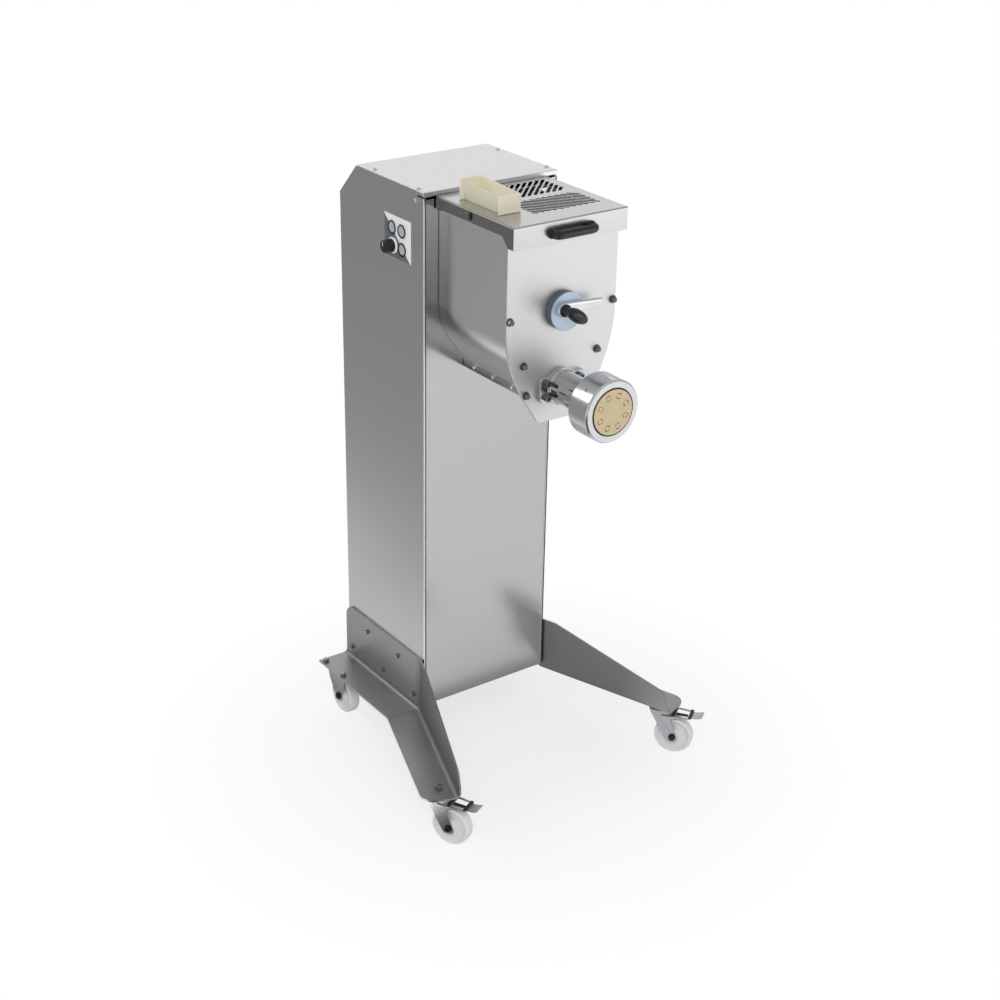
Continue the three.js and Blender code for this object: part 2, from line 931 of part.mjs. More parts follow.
// Tub: two bent walls, a back wall, a front flange with its window, and hinge ears.
function hopperTub() {
  const front = -plateBack + seat;
  const strip = tubFootZ() - tubStripHeight;
  const wall = [...tubSide(0), [tubFootHalf, strip]];
  const inner = [...tubSide(tubWall), [tubFootHalf - tubWall, strip]].reverse();
  const right = plateY(outline([...wall, ...inner]), front, -seat);
  const mirrored = [...wall, ...inner].map(([x, z]) => [-x, z]);
  const left = plateY(outline(mirrored), front, -seat);
  const back = plateY(outline(symmetrical(wall)), -seat - tubWall, -seat);
  const rim = columnBottom + tubRim;
  const flange = plateY(frontPlateShape(rim), front, front + tubFlange);
  const windowRight = [
    [windowHalf, rim + overrun],
    [windowHalf, columnBottom + windowBendRise],
    [windowHipHalf, columnBottom + windowHipRise],
    [windowFootHalf, tubFootZ()],
  ];
  const window = plateY(outline(symmetrical(windowRight)), front - overrun, front + tubFlange + overrun);
  const trough = tubFootHalf - tubWall;
  const passage = block(
    -trough,
    trough,
    front - overrun,
    front + tubFlange + overrun,
    columnBottom + frontPlateFootRise - overrun,
    tubFootZ() + overrun,
  );
  const ears = [-1, 1].map((side) => hingeEar(side * (tubHalfWidth - tubWall / 2)));
  const backHoles = [mixerZ, augerZ].map((z) =>
    boreY(mixerRadius + seat, -seat - tubWall - overrun, overrun, 0, z, roundSides),
  );
  const rodHole = boreX(
    hingeRodRadius + seat,
    -tubHalfWidth - overrun,
    tubHalfWidth + overrun,
    -hingeForward,
    hingeZ,
  );
  const openFlange = cut(flange, window, passage);
  const lidSweep = block(
    -tubHalfWidth - overrun,
    tubHalfWidth + overrun,
    -tubRelief,
    overrun,
    rim - tubReliefDrop,
    rim + overrun,
  );
  const body = cut(join(right, left, back, openFlange), lidSweep);
  return cut(join(body, ...ears), ...backHoles, rodHole);
}

// Round-headed ear that rises from the tub's rim to carry the hinge rod.
function hingeEar(x) {
  const foot = columnBottom + tubRim - overrun;
  const shape = new THREE.Shape();
  shape.moveTo(-hingeForward - hingeEarRadius, foot);
  shape.lineTo(-hingeForward + hingeEarRadius, foot);
  shape.absarc(-hingeForward, hingeZ, hingeEarRadius, 0, Math.PI, false);
  return plateX(shape, x - tubWall / 2, x + tubWall / 2);
}

// Block under the tub with the half-round auger channel, sloping shoulders and a round
// belly under the channel.
function augerTrough() {
  const half = tubFootHalf - tubWall - seat;
  const belly = [];
  for (let i = 0; i <= curveSteps; i++) {
    const angle = (-3 * Math.PI) / 4 + (i / curveSteps) * (Math.PI / 2);
    belly.push([
      troughBossRadius * Math.cos(angle),
      augerZ + troughBossRadius * Math.sin(angle),
    ]);
  }
  const foot = belly[0][1];
  const shape = outline([
    [-half, foot],
    ...belly,
    [half, foot],
    [half, columnBottom + troughShoulder],
    [0, columnBottom + troughValley],
    [-half, columnBottom + troughShoulder],
  ]);
  const back = -seat - tubWall - seat;
  const front = -plateBack + seat;
  const body = plateY(shape, front, back);
  return cut(body, boreY(boreRadius, front - overrun, back + overrun, 0, augerZ, roundSides));
}

// Front plate with the holes for the mixing shaft and the auger.
function frontPlate() {
  const shape = frontPlateShape(columnBottom + frontPlateTop);
  const body = plateY(shape, plateFront, -plateBack);
  const reach = [plateFront - overrun, -plateBack + overrun];
  const mixerHole = boreY(mixerRadius + seat, ...reach, 0, mixerZ, roundSides);
  const augerHole = boreY(boreRadius, ...reach, 0, augerZ, roundSides);
  return cut(body, mixerHole, augerHole);
}

// Mixing shaft with its square tang, front journal and paddles set a quarter turn apart.
function mixingShaft() {
  const capBack = plateFace + seat;
  const half = tangSize / 2;
  const tangEnd = shaftCollarEnd + tangLength;
  const tang = block(-half, half, 0, tangEnd, mixerZ - half, mixerZ + half);
  const shaft = rodY(mixerRadius, plateFront, shaftCollarEnd, 0, mixerZ, roundSides);
  const journalFront = -capBack - capThickness + 3 * capEdge;
  const journal = rodY(mixerJournalRadius, journalFront, 0, 0, mixerZ);
  const parts = [tang, shaft, journal];
  for (let i = 0; i < paddleCount; i++) {
    const angle = Math.PI / 4 + (i * Math.PI) / 2;
    const y = -paddleStart - i * paddlePitch;
    const arm = rodZ(paddleArmRadius, 0, paddleReach - paddleBladeHeight / 2, 0, 0);
    const blade = block(
      -paddleBladeThickness / 2,
      paddleBladeThickness / 2,
      -paddleBladeWidth / 2,
      paddleBladeWidth / 2,
      paddleReach - paddleBladeHeight,
      paddleReach,
    ).rotateZ(paddleTwist);
    parts.push(join(arm, blade).rotateY(angle).translate(0, y, mixerZ));
  }
  return join(...parts);
}

// One helical flight as a closed band: four corners a step, wound along -Y.
function augerFlight() {
  const steps = augerTurns * augerStepsPerTurn;
  const inner = augerCoreRadius - overrun;
  const half = augerFlightThickness / 2;
  const length = augerEnd - overrun - augerStart - augerFlightThickness;
  const positions = [];
  const faces = [];
  for (let i = 0; i <= steps; i++) {
    const angle = ((i + 1 / 3) / augerStepsPerTurn) * 2 * Math.PI;
    const y = -augerStart - half - (i / steps) * length;
    const corners = [
      [inner, y - half],
      [augerRadius, y - half],
      [augerRadius, y + half],
      [inner, y + half],
    ];
    for (const [radius, at] of corners) {
      positions.push(radius * Math.cos(angle), at, radius * Math.sin(angle));
    }
    if (i === steps) continue;
    for (let side = 0; side < 4; side++) {
      const a = i * 4 + side;
      const b = i * 4 + ((side + 1) % 4);
      faces.push(a, b, a + 4, b, b + 4, a + 4);
    }
  }
  const last = steps * 4;
  faces.push(0, 2, 1, 0, 3, 2);
  faces.push(last, last + 1, last + 2, last, last + 2, last + 3);
  const geometry = new THREE.BufferGeometry();
  geometry.setAttribute("position", new THREE.Float32BufferAttribute(positions, 3));
  geometry.setIndex(faces);
  return geometry.translate(0, 0, augerZ);
}

// Auger: square tang, collar, core and flight.
function auger() {
  const half = tangSize / 2;
  const tangEnd = shaftCollarEnd + tangLength;
  const tang = block(-half, half, 0, tangEnd, augerZ - half, augerZ + half);
  const collar = rodY(mixerRadius, -augerCollarFront, shaftCollarEnd, 0, augerZ, roundSides);
  const core = rodY(augerCoreRadius, -augerEnd, -overrun, 0, augerZ, augerStepsPerTurn);
  return join(tang, collar, core, augerFlight());
}

// Extruder

// Two-eared flange in (x, z) with an arched top and foot.
function barrelFlangeShape() {
  const shape = new THREE.Shape();
  const reach = Math.acos(barrelEarHalf / barrelFlangeRadius);
  const angle = Math.PI / 2 - reach / 2;
  const rise = barrelFlangeRadius * Math.sin(angle);
  const across = barrelFlangeRadius * Math.cos(angle);
  shape.moveTo(barrelFlangeHalf, augerZ - barrelEarHalf);
  shape.lineTo(barrelFlangeHalf, augerZ + barrelEarHalf);
  shape.lineTo(across, augerZ + rise);
  shape.quadraticCurveTo(0, augerZ + 2 * barrelFlangeRadius - rise, -across, augerZ + rise);
  shape.lineTo(-barrelFlangeHalf, augerZ + barrelEarHalf);
  shape.lineTo(-barrelFlangeHalf, augerZ - barrelEarHalf);
  shape.lineTo(-across, augerZ - rise);
  shape.quadraticCurveTo(0, augerZ - 2 * barrelFlangeRadius + rise, across, augerZ - rise);
  return shape;
}

// Barrel: bolted flange, tube and a head that widens behind the die.
function extruderBarrel() {
  const back = -plateFace - seat;
  const flange = plateY(barrelFlangeShape(), back - barrelFlange, back);
  const body = turnedY(
    [
      [0, -barrelFront],
      [barrelHeadRadius, -barrelFront],
      [barrelHeadRadius, -barrelHeadBack],
      [barrelRadius, -barrelHeadBack],
      [barrelRadius, back],
      [0, back],
    ],
    0,
    augerZ,
    fineSides,
  );
  const bore = turnedY(
    [
      [0, -barrelFront - overrun],
      [barrelMouthRadius, -barrelFront - overrun],
      [boreRadius, -barrelMouthBack],
      [boreRadius, back + overrun],
      [0, back + overrun],
    ],
    0,
    augerZ,
  );
  return cut(join(flange, body), bore);
}

// Ring nut with chamfered rims, a front lip and blind pin holes.
function ringNut() {
  const body = turnedY(
    [
      [nutInner, -nutBack],
      [nutInner, -nutLipBack],
      [dieFaceRadius + seat, -nutLipBack],
      [dieFaceRadius + seat, -nutFront],
      [nutRadius - nutChamfer, -nutFront],
      [nutRadius, -nutFront + nutChamfer],
      [nutRadius, -nutBack - nutChamfer / 2],
      [nutRadius - nutChamfer / 2, -nutBack],
      [nutInner, -nutBack],
    ],
    0,
    augerZ,
    fineSides,
  );
  const pins = [];
  for (let i = 0; i < nutPins; i++) {
    const angle = ((i + 1 / 2) / nutPins) * 2 * Math.PI;
    const hole = rodZ(nutPinRadius, nutRadius - nutPinDepth, nutRadius + overrun, 0, 0);
    pins.push(hole.rotateY(angle).translate(0, -nutFront + nutPinBack, augerZ));
  }
  return cut(body, ...pins);
}

// One wavy die slot as a band about a cosine line, at the origin in (x, z).
function dieSlotShape() {
  const steps = 8;
  const upper = [];
  const lower = [];
  for (let i = 0; i <= steps; i++) {
    const share = i / steps;
    const x = dieSlotHalf * (2 * share - 1);
    const z = (dieSlotWave / 2) * Math.cos(share * 4 * Math.PI);
    upper.push([x, z + dieSlotWidth / 2]);
    lower.push([x, z - dieSlotWidth / 2]);
  }
  return outline([...lower, ...upper.reverse()]);
}

// Bronze die: a flange held by the nut's lip, a boss in its opening and eight slots.
function pastaDie() {
  const back = -barrelFront - seat;
  const shoulder = -nutLipBack + seat;
  const face = -nutFront + dieSetback;
  const body = turnedY(
    [
      [0, face],
      [dieFaceRadius, face],
      [dieFaceRadius, shoulder],
      [barrelHeadRadius - seat, shoulder],
      [barrelHeadRadius - seat, back],
      [dieRecessRadius, back],
      [dieRecessRadius, back - dieRecessDepth],
      [0, back - dieRecessDepth],
    ],
    0,
    augerZ,
    fineSides,
  );
  const slots = [];
  for (let i = 0; i < dieSlots; i++) {
    const slot = plateY(dieSlotShape(), face - overrun, back);
    slot.translate(0, 0, dieSlotCircle);
    slots.push(slot.rotateY(((i + 1 / 2) / dieSlots) * 2 * Math.PI).translate(0, 0, augerZ));
  }
  return cut(body, ...slots);
}

// Shaft lock on the front plate

// Cap over the mixing shaft's front journal, with the stud that the lock's lever swings on.
function shaftCap() {
  const back = -plateFace - seat;
  const front = back - capThickness;
  const pocket = front + 2 * capEdge;
  const body = turnedY(
    [
      [0, front],
      [capRadius - capEdge, front],
      [capRadius, front + capEdge],
      [capRadius, back],
      [mixerJournalRadius + seat, back],
      [mixerJournalRadius + seat, pocket],
      [0, pocket],
    ],
    0,
    mixerZ,
    fineSides,
  );
  const studEnd = front - seat - lockStudReach;
  const stud = rodY(lockStemRadius, studEnd, front + capEdge, lockAcross, columnBottom + lockRise);
  return join(body, stud);
}

// Tapered lever on the cap's stud, pointing right.
function lockLever() {
  const shape = new THREE.Shape();
  const z = columnBottom + lockRise;
  const tip = lockAcross + leverLength;
  shape.moveTo(lockAcross, z - leverHub);
  shape.lineTo(tip - leverTipSetback, z - leverTip);
  shape.lineTo(tip, z - leverTip + leverTipSetback);
  shape.lineTo(tip, z + leverTip);
  shape.lineTo(lockAcross, z + leverHub);
  shape.absarc(lockAcross, z, leverHub, Math.PI / 2, (3 * Math.PI) / 2, false);
  const front = -leverFront;
  const body = plateY(shape, front, front + leverThickness);
  const reach = [front - overrun, front + leverThickness + overrun];
  return cut(body, boreY(lockStemRadius + seat, ...reach, lockAcross, z));
}

// Oval wing knob with its neck, and a stem that enters the lever's bore.
function lockKnob() {
  const z = columnBottom + lockRise;
  const neckBack = -leverFront - seat;
  const wingY = neckBack - lockNeck - wingHalfDepth;
  const stemEnd = -leverFront + leverThickness - lockStudReach - seat;
  const stem = rodY(lockStemRadius, neckBack - overrun, stemEnd, lockAcross, z);
  const neck = turnedY(
    [
      [0, wingY],
      [lockNeckRadius - overrun, wingY],
      [lockNeckRadius, neckBack],
      [0, neckBack],
    ],
    lockAcross,
    z,
    smallSides,
  );
  const wing = new THREE.SphereGeometry(1, roundSides, smallSides)
    .scale(wingHalfLength, wingHalfDepth, wingHalfHeight)
    .rotateY(wingAngle)
    .translate(lockAcross, wingY, z);
  return join(stem, neck, wing);
}

// Lid

// A slot with round ends from one centre to another, in (x, y).
function slotShape([x0, y0], [x1, y1]) {
  const along = Math.atan2(y1 - y0, x1 - x0);
  const points = [];
  const addEnd = (x, y, start) => {
    for (let i = 0; i <= slotEndSteps; i++) {
      const angle = start + (Math.PI * i) / slotEndSteps;
      points.push([
        x + (slotWidth / 2) * Math.cos(angle),
        y + (slotWidth / 2) * Math.sin(angle),
      ]);
    }
  };
  addEnd(x1, y1, along - Math.PI / 2);
  addEnd(x0, y0, along + Math.PI / 2);
  return outline(points);
}

// Slanting slots clipped to a rectangle, in the rear field; the front field mirrors it.
function grilleSlots() {
  const half = slotWidth / 2;
  const left = grilleLeft + half;
  const right = grilleRight - half;
  const far = -grilleRearFar + half;
  const near = -grilleRearNear - half;
  const first = Math.ceil((left - near - grilleOffset) / grillePitch);
  const last = Math.floor((right - far - grilleOffset) / grillePitch);
  const slots = [];
  for (let i = first; i <= last; i++) {
    const offset = grilleOffset + i * grillePitch;
    const x0 = Math.max(left, far + offset);
    const x1 = Math.min(right, near + offset);
    if (x1 - x0 < half) continue;
    const ends = [
      [x0, x0 - offset],
      [x1, x1 - offset],
    ];
    const mirrored = ends.map(([x, y]) => [x, -2 * grilleMirror - y]);
    for (const [a, b] of [ends, mirrored]) {
      slots.push(plateZ(slotShape(a, b), lidZ - sheet - overrun, lidZ + overrun));
    }
  }
  return slots;
}

// Side skirt in (y, z): shallow at the rear, stepping down to the front corner.
function skirtShape() {
  return outline([
    [-lidFront, lidZ],
    [-lidFront, lidZ - skirtFront],
    [-lidFront + skirtFold, lidZ - skirtFront],
    [-lidFront + skirtFold + skirtSlope, lidZ - skirtRear],
    [-lidBack, lidZ - skirtRear],
    [-lidBack, lidZ],
  ]);
}

// Lid: top sheet with its grille, front flange and two skirts.
function lid() {
  const top = block(-lidHalf, lidHalf, -lidFront, -lidBack, lidZ - sheet, lidZ);
  const flange = block(-lidHalf, lidHalf, -lidFront, -lidFront + sheet, lidZ - lidFlange, lidZ);
  const left = plateX(skirtShape(), -lidHalf, -lidHalf + sheet);
  const right = plateX(skirtShape(), lidHalf - sheet, lidHalf);
  return cut(join(top, flange, left, right), ...grilleSlots());
}

// Bow handle: an oval bar along a bent path in front of the lid's flange.
function lidHandle() {
  const z = lidZ - handleDrop;
  const root = -lidFront - seat;
  const bar = root - handleReach;
  const path = new THREE.CurvePath();
  const leg = handleHalf;
  const at = (x, y) => new THREE.Vector3(x, y, z);
  path.add(new THREE.LineCurve3(at(-leg, root), at(-leg, bar + handleBend)));
  path.add(
    new THREE.QuadraticBezierCurve3(
      at(-leg, bar + handleBend),
      at(-leg, bar),
      at(-leg + handleBend, bar),
    ),
  );
  path.add(new THREE.LineCurve3(at(-leg + handleBend, bar), at(leg - handleBend, bar)));
  path.add(
    new THREE.QuadraticBezierCurve3(
      at(leg - handleBend, bar),
      at(leg, bar),
      at(leg, bar + handleBend),
    ),
  );
  path.add(new THREE.LineCurve3(at(leg, bar + handleBend), at(leg, root)));
  const section = new THREE.Shape();
  section.absellipse(0, 0, handleHalfHeight, handleHalfDepth, 0, 2 * Math.PI);
  return new THREE.ExtrudeGeometry(section, {
    extrudePath: path,
    steps: roundSides,
    curveSegments: curveSteps,
  });
}

// Flat arm inside a skirt, with the eye that turns on the hinge rod.
function hingeArm(side) {
  const outer = lidHalf - sheet - seat;
  const inner = outer - hingeArmThickness;
  const [x0, x1] = side < 0 ? [-outer, -inner] : [inner, outer];
  const lidUnder = lidZ - sheet - seat;
  const bar = block(
    x0,
    x1,
    -hingeForward - hingeArmLength,
    -hingeForward,
    hingeZ - hingeArmRadius,
    lidUnder,
  );
  const eye = rodX(hingeArmRadius, x0, x1, -hingeForward, hingeZ);
  const hole = boreX(hingeRodRadius + seat, x0 - overrun, x1 + overrun, -hingeForward, hingeZ);
  return cut(join(bar, eye), hole);
}

// Small coded magnet outside the left skirt and the reader on the tub's wall beside it.
function lidMagnet() {
  const outer = -lidHalf - seat;
  const top = lidZ - sheet * 2;
  return block(
    outer - magnetThickness,
    outer,
    -magnetForward - magnetWidth / 2,
    -magnetForward + magnetWidth / 2,
    top - magnetHeight,
    top,
  );
}
function lidSensor() {
  const inner = -tubHalfWidth - seat;
  const foot = lidZ - skirtRear + seat;
  return block(
    inner - sensorThickness,
    inner,
    -sensorForward - sensorLength,
    -sensorForward,
    foot,
    foot + sensorHeight,
  );
}

// Open tray with sloping long sides between two upright end plates.
function liquidTray() {
  const foot = lidZ + seat;
  const top = foot + trayHeight;
  const back = -trayBack;
  const front = back - trayLength;
  const x = trayCentre;
  const body = plateY(
    outline([
      [x - trayHalfBottom, foot],
      [x + trayHalfBottom, foot],
      [x + trayHalfTop, top],
      [x - trayHalfTop, top],
    ]),
    front,
    back,
  );
  const ends = [front, back - trayEnd].map((y) =>
    block(x - trayHalfTop, x + trayHalfTop, y, y + trayEnd, foot, top),
  );
  const hollow = plateY(
    outline([
      [x - trayHalfBottom + trayWall, foot + trayWall],
      [x + trayHalfBottom - trayWall, foot + trayWall],
      [x + trayHalfTop - trayWall, top + overrun],
      [x - trayHalfTop + trayWall, top + overrun],
    ]),
    front + trayEnd,
    back - trayEnd,
  );
  return cut(join(body, ...ends), hollow);
}

// Legs

// Left leg: an upright web that bends outwards at the front, with a flange along its foot.
function leg() {
  const outer = -halfColumn - seat - legSheet;
  const inner = outer + legSheet;
  const pivot = [outer, legBend];
  const along = [-Math.sin(legSplay), -Math.cos(legSplay)];
  const across = [Math.cos(legSplay), -Math.sin(legSplay)];
  const end = [pivot[0] + legArm * along[0], pivot[1] + legArm * along[1]];
  const strip = outline([
    [outer, legRear],
    pivot,
    end,
    [end[0] + legSheet * across[0], end[1] + legSheet * across[1]],
    [inner, legBend - legSheet * Math.tan(legSplay / 2)],
    [inner, legRear],
  ]);
  const web = plateZ(strip, legBottom, legTop);
  const rear = new THREE.Shape();
  rear.moveTo(legBend - legFlange / 2, legBottom - overrun);
  rear.lineTo(legRear, legBottom - overrun);
  rear.lineTo(legRear, legTop - legRearCorner);
  rear.absarc(legRear - legRearCorner, legTop - legRearCorner, legRearCorner, 0, Math.PI / 2, false);
  rear.lineTo(legBend - legFlange / 2, legTop);
  const rearWide = plateX(rear, outer - legFlange, inner + legFlange);
  const arm = new THREE.Shape();
  const tip = -legArm - overrun;
  arm.moveTo(legFlange / 2, legBottom - overrun);
  arm.lineTo(legFlange / 2, legTop);
  arm.lineTo(-legArmFlat, legTop);
  arm.lineTo(-legArmSlopeEnd, legArmSlopeRise);
  arm.quadraticCurveTo(
    -legArm + legArmTipRound / 2,
    legArmSlopeRise - legArmTipRound / 2,
    tip,
    legArmTipRise,
  );
  arm.lineTo(tip, legBottom - overrun);
  const armWide = plateX(arm, -legFlange, legFlange)
    .rotateZ(-legSplay)
    .translate(pivot[0], pivot[1], 0);
  const behind = block(
    outer - legFlange,
    inner + legFlange,
    legBend,
    legRear + overrun,
    legBottom - overrun,
    legTop + overrun,
  );
  const shapedRear = overlapOf(overlapOf(web, rearWide), behind);
  const shapedArm = overlapOf(cut(web, behind), armWide);
  const flangeTop = legBottom + legSheet;
  const middle = legSheet / 2;
  const rearFlange = block(
    outer - legFlange,
    outer + middle,
    legBend,
    legRear,
    legBottom,
    flangeTop,
  );
  const foot = new THREE.Shape();
  foot.moveTo(middle, 0);
  foot.lineTo(-legFlange, 0);
  foot.lineTo(-legFlange, -legArm + legTipCorner);
  foot.absarc(
    -legFlange + legTipCorner,
    -legArm + legTipCorner,
    legTipCorner,
    Math.PI,
    (3 * Math.PI) / 2,
    false,
  );
  foot.lineTo(middle, -legArm);
  const armFlange = plateZ(foot, legBottom, flangeTop)
    .rotateZ(-legSplay)
    .translate(pivot[0], pivot[1], 0);
  const [boltX, boltY] = frontCastorPlace();
  const boltHole = boreZ(
    castorBoltRadius + seat,
    legBottom - overrun,
    flangeTop + overrun,
    boltX,
    boltY,
  );
  return cut(join(shapedRear, shapedArm, rearFlange, armFlange), boltHole);
}

// Centre of the left front castor's bolt, set from the leg's bend along its arm.
function frontCastorPlace() {
  const outer = -halfColumn - seat - legSheet;
  return [
    outer - castorAlong * Math.sin(legSplay) - castorAcross * Math.cos(legSplay),
    legBend - castorAlong * Math.cos(legSplay) + castorAcross * Math.sin(legSplay),
  ];
}

// Castors: local +X is the trail direction, Z is up from the floor, Y is the axle's line

// Wheel with a bevelled tread, a dished web and a hub; one flat of its tread lies on the floor.
function castorWheel() {
  const tread = around(tyreRadius, roundSides);
  const half = [
    [axleRadius + seat, hubHalf],
    [wheelHubRadius, hubHalf],
    [wheelHubRadius + tyreShoulder / 2, webHalf],
    [rimInner, webHalf],
    [rimInner + tyreShoulder, tyreHalf],
    [tread, tyreHalf - tyreShoulder],
  ];
  const front = half.map(([radius, y]) => [radius, -y]);
  const profile = [...front, ...half.reverse(), front[0]];
  return turnedY(profile, 0, 0, roundSides)
    .rotateY(Math.PI / roundSides)
    .translate(0, 0, tyreRadius);
}

// Axle bolt with a hexagon at each end.
function castorAxle() {
  const face = forkGapHalf + forkSheet + seat;
  const shank = rodY(axleRadius, -face - overrun, face + overrun, 0, tyreRadius);
  const nuts = [-face - axleNut, face].map((y) =>
    rodY(axleNutRadius, y, y + axleNut, 0, tyreRadius, 6),
  );
  return join(shank, ...nuts);
}

// A pair of fork cheeks from an outline in (x, z), bored for the axle.
function forkCheeks(shape, axleX) {
  const inner = forkGapHalf;
  const outer = forkGapHalf + forkSheet;
  const hole = boreY(axleRadius + seat, -outer - overrun, outer + overrun, axleX, tyreRadius);
  return cut(join(...[-outer, inner].map((y) => plateY(shape, y, y + forkSheet))), hole);
}

// Swivel fork of a front castor.
function swivelFork() {
  const outer = forkGapHalf + forkSheet;
  const shape = outline([
    [-forkRear, forkTop],
    [castorTrail - forkAxleHalf, tyreRadius - axleNutRadius],
    [castorTrail + forkAxleHalf / 2, tyreRadius - forkAxleHalf],
    [castorTrail + forkAxleHalf, tyreRadius],
    [forkFront, forkTop],
  ]);
  const cheeks = forkCheeks(shape, castorTrail);
  const bridge = block(-forkRear, forkFront, -outer, outer, forkTop - forkPlate, forkTop);
  const kingpin = boreZ(castorBoltRadius + seat, forkTop - forkPlate - overrun, forkTop + overrun, 0, 0);
  const pinReach = outer + overrun;
  const brakeHole = boreY(
    brakePinRadius + seat,
    -pinReach,
    pinReach,
    brakePivotAlong,
    brakePivotRise,
  );
  return cut(join(cheeks, bridge), kingpin, brakeHole);
}

// Fixed head of a front castor: race, cap, the bolt through the leg and its nut.
function swivelHead() {
  const race = forkTop + seat;
  const rivetTop = forkTop - forkPlate - seat;
  const flange = legBottom + legSheet + seat;
  return turnedZ(
    [
      [0, rivetTop - rivetHeight],
      [rivetRadius, rivetTop - rivetHeight],
      [rivetRadius, rivetTop],
      [castorBoltRadius, rivetTop],
      [castorBoltRadius, race],
      [raceRadius, race],
      [raceRadius, race + raceHeight],
      [headRadius, race + raceHeight],
      [headRadius, legBottom - seat],
      [castorBoltRadius, legBottom - seat],
      [castorBoltRadius, flange],
      [castorNutRadius, flange],
      [castorNutRadius, flange + castorNutHeight],
      [0, flange + castorNutHeight],
    ],
    0,
    0,
    smallSides,
  );
}

// Brake pedal: a frame narrowing to the front over the wheel, two ears on pins in the
// fork's cheeks and a foot pad.
function brakePedal() {
  const inner = forkGapHalf + forkSheet + seat;
  const outer = inner + brakeBar;
  const under = brakeBarTop - brakeBar;
  const earTop = under + brakeBar / 2;
  const ear = outline([
    [brakePivotAlong - brakeBarHeight, brakePivotRise - brakeBarHeight],
    [brakePivotAlong + brakeBarHeight, brakePivotRise - brakeBarHeight],
    [brakeFrameStart, brakeBarTop - brakeBarHeight],
    [brakeFrameStart, earTop],
    [brakePivotAlong - brakeBarHeight, earTop],
  ]);
  const parts = [-outer, inner].map((y) => plateY(ear, y, y + brakeBar));
  for (const y of [-inner, inner - forkSheet]) {
    const pinEnds = [y - brakeBar / 2, y + forkSheet + brakeBar / 2];
    parts.push(rodY(brakePinRadius, ...pinEnds, brakePivotAlong, brakePivotRise));
  }
  const frame = outline([
    [brakeFrameStart - brakeCrossbar, -outer],
    [brakeFrameEnd, -brakeNoseHalf],
    [brakeFrameEnd, brakeNoseHalf],
    [brakeFrameStart - brakeCrossbar, outer],
  ]);
  const window = outline([
    [brakeFrameStart, -inner + brakeBar / 2],
    [brakeFrameEnd - brakeCrossbar, -brakeNoseHalf + brakeBar],
    [brakeFrameEnd - brakeCrossbar, brakeNoseHalf - brakeBar],
    [brakeFrameStart, inner - brakeBar / 2],
  ]);
  const plate = plateZ(frame, under, brakeBarTop);
  const opening = plateZ(window, under - overrun, brakeBarTop + overrun);
  parts.push(cut(plate, opening));
  const pad = block(-brakeBar, brakePadLength, -brakePadHalf, brakePadHalf, -brakePadThickness, 0)
    .rotateY(-brakePadLift)
    .translate(brakeFrameEnd, 0, brakeBarTop);
  return join(...parts, pad);
}

// Plate and fork of a fixed rear castor in one pressing, rolling along the local X.
function rigidFork() {
  const top = legBottom - seat;
  const plate = block(
    -rearPlateLength / 2,
    rearPlateLength / 2,
    -rearPlateWidth / 2,
    rearPlateWidth / 2,
    top - forkPlate,
    top,
  );
  const shape = outline([
    [-rearForkHalf, top - forkPlate / 2],
    [-forkAxleHalf, tyreRadius],
    [-forkAxleHalf / 2, tyreRadius - forkAxleHalf],
    [forkAxleHalf / 2, tyreRadius - forkAxleHalf],
    [forkAxleHalf, tyreRadius],
    [rearForkHalf, top - forkPlate / 2],
  ]);
  return join(plate, forkCheeks(shape, 0));
}

// Assembly

piece("base_plate", basePlate(), brushedSteel);
piece("left_side_panel", sidePanel(true), brushedSteel);
piece("right_side_panel", sidePanel(false), brushedSteel).scale.x = -1;
piece("front_panel", frontPanel(), brushedSteel);
piece("rear_cover", rearCover(), brushedSteel);
piece("top_cover", topCover(), brushedSteel);
piece("cable_gland", cableGland(), blackPlastic);

piece("control_plate", controlPlate(), whitePlastic);
for (const place of buttonPlaces) {
  piece(place.name, button(place), polishedSteel);
}
piece("selector_knob", selectorKnob(), blackPlastic);
piece("switch_box", switchBox(), castMetal);

piece("bearing_plate", bearingPlate(), gearSteel);
piece("mixer_bush", bush(mixerZ), bronze);
piece("auger_bush", bush(augerZ), bronze);
piece("auger_gear", augerGear(), gearSteel);
piece(
  "mixer_gear",
  driveGear(wheelTeeth, mixerZ, -Math.PI / 2 + Math.PI / wheelTeeth),
  gearSteel,
);
piece("gear_reducer", gearReducer(), castMetal);
piece("drive_motor", driveMotor(), castMetal);

piece("hopper_tub", hopperTub(), brushedSteel);
piece("auger_trough", augerTrough(), brushedSteel);
piece("hopper_front_plate", frontPlate(), brushedSteel);
piece("mixing_shaft", mixingShaft(), polishedSteel);
piece("auger", auger(), polishedSteel);
piece("extruder_barrel", extruderBarrel(), polishedSteel);
piece("ring_nut", ringNut(), polishedSteel);
piece("pasta_die", pastaDie(), bronze);
piece("shaft_cap", shaftCap(), paleMetal);
piece("lock_lever", lockLever(), polishedSteel);
piece("lock_knob", lockKnob(), blackPlastic);

piece("lid", lid(), brushedSteel);
piece("lid_handle", lidHandle(), blackPlastic);
piece("left_hinge_arm", hingeArm(-1), gearSteel);
piece("right_hinge_arm", hingeArm(1), gearSteel);
piece("lid_magnet", lidMagnet(), blackPlastic);
piece("lid_sensor", lidSensor(), blackPlastic);
const rodEnd = lidHalf - sheet - seat;
piece(
  "hinge_rod",
  rodX(hingeRodRadius, -rodEnd, rodEnd, -hingeForward, hingeZ),
  polishedSteel,
);
piece("liquid_tray", liquidTray(), creamPlastic);

piece("left_leg", leg(), brushedSteel);
piece("right_leg", leg(), brushedSteel).scale.x = -1;

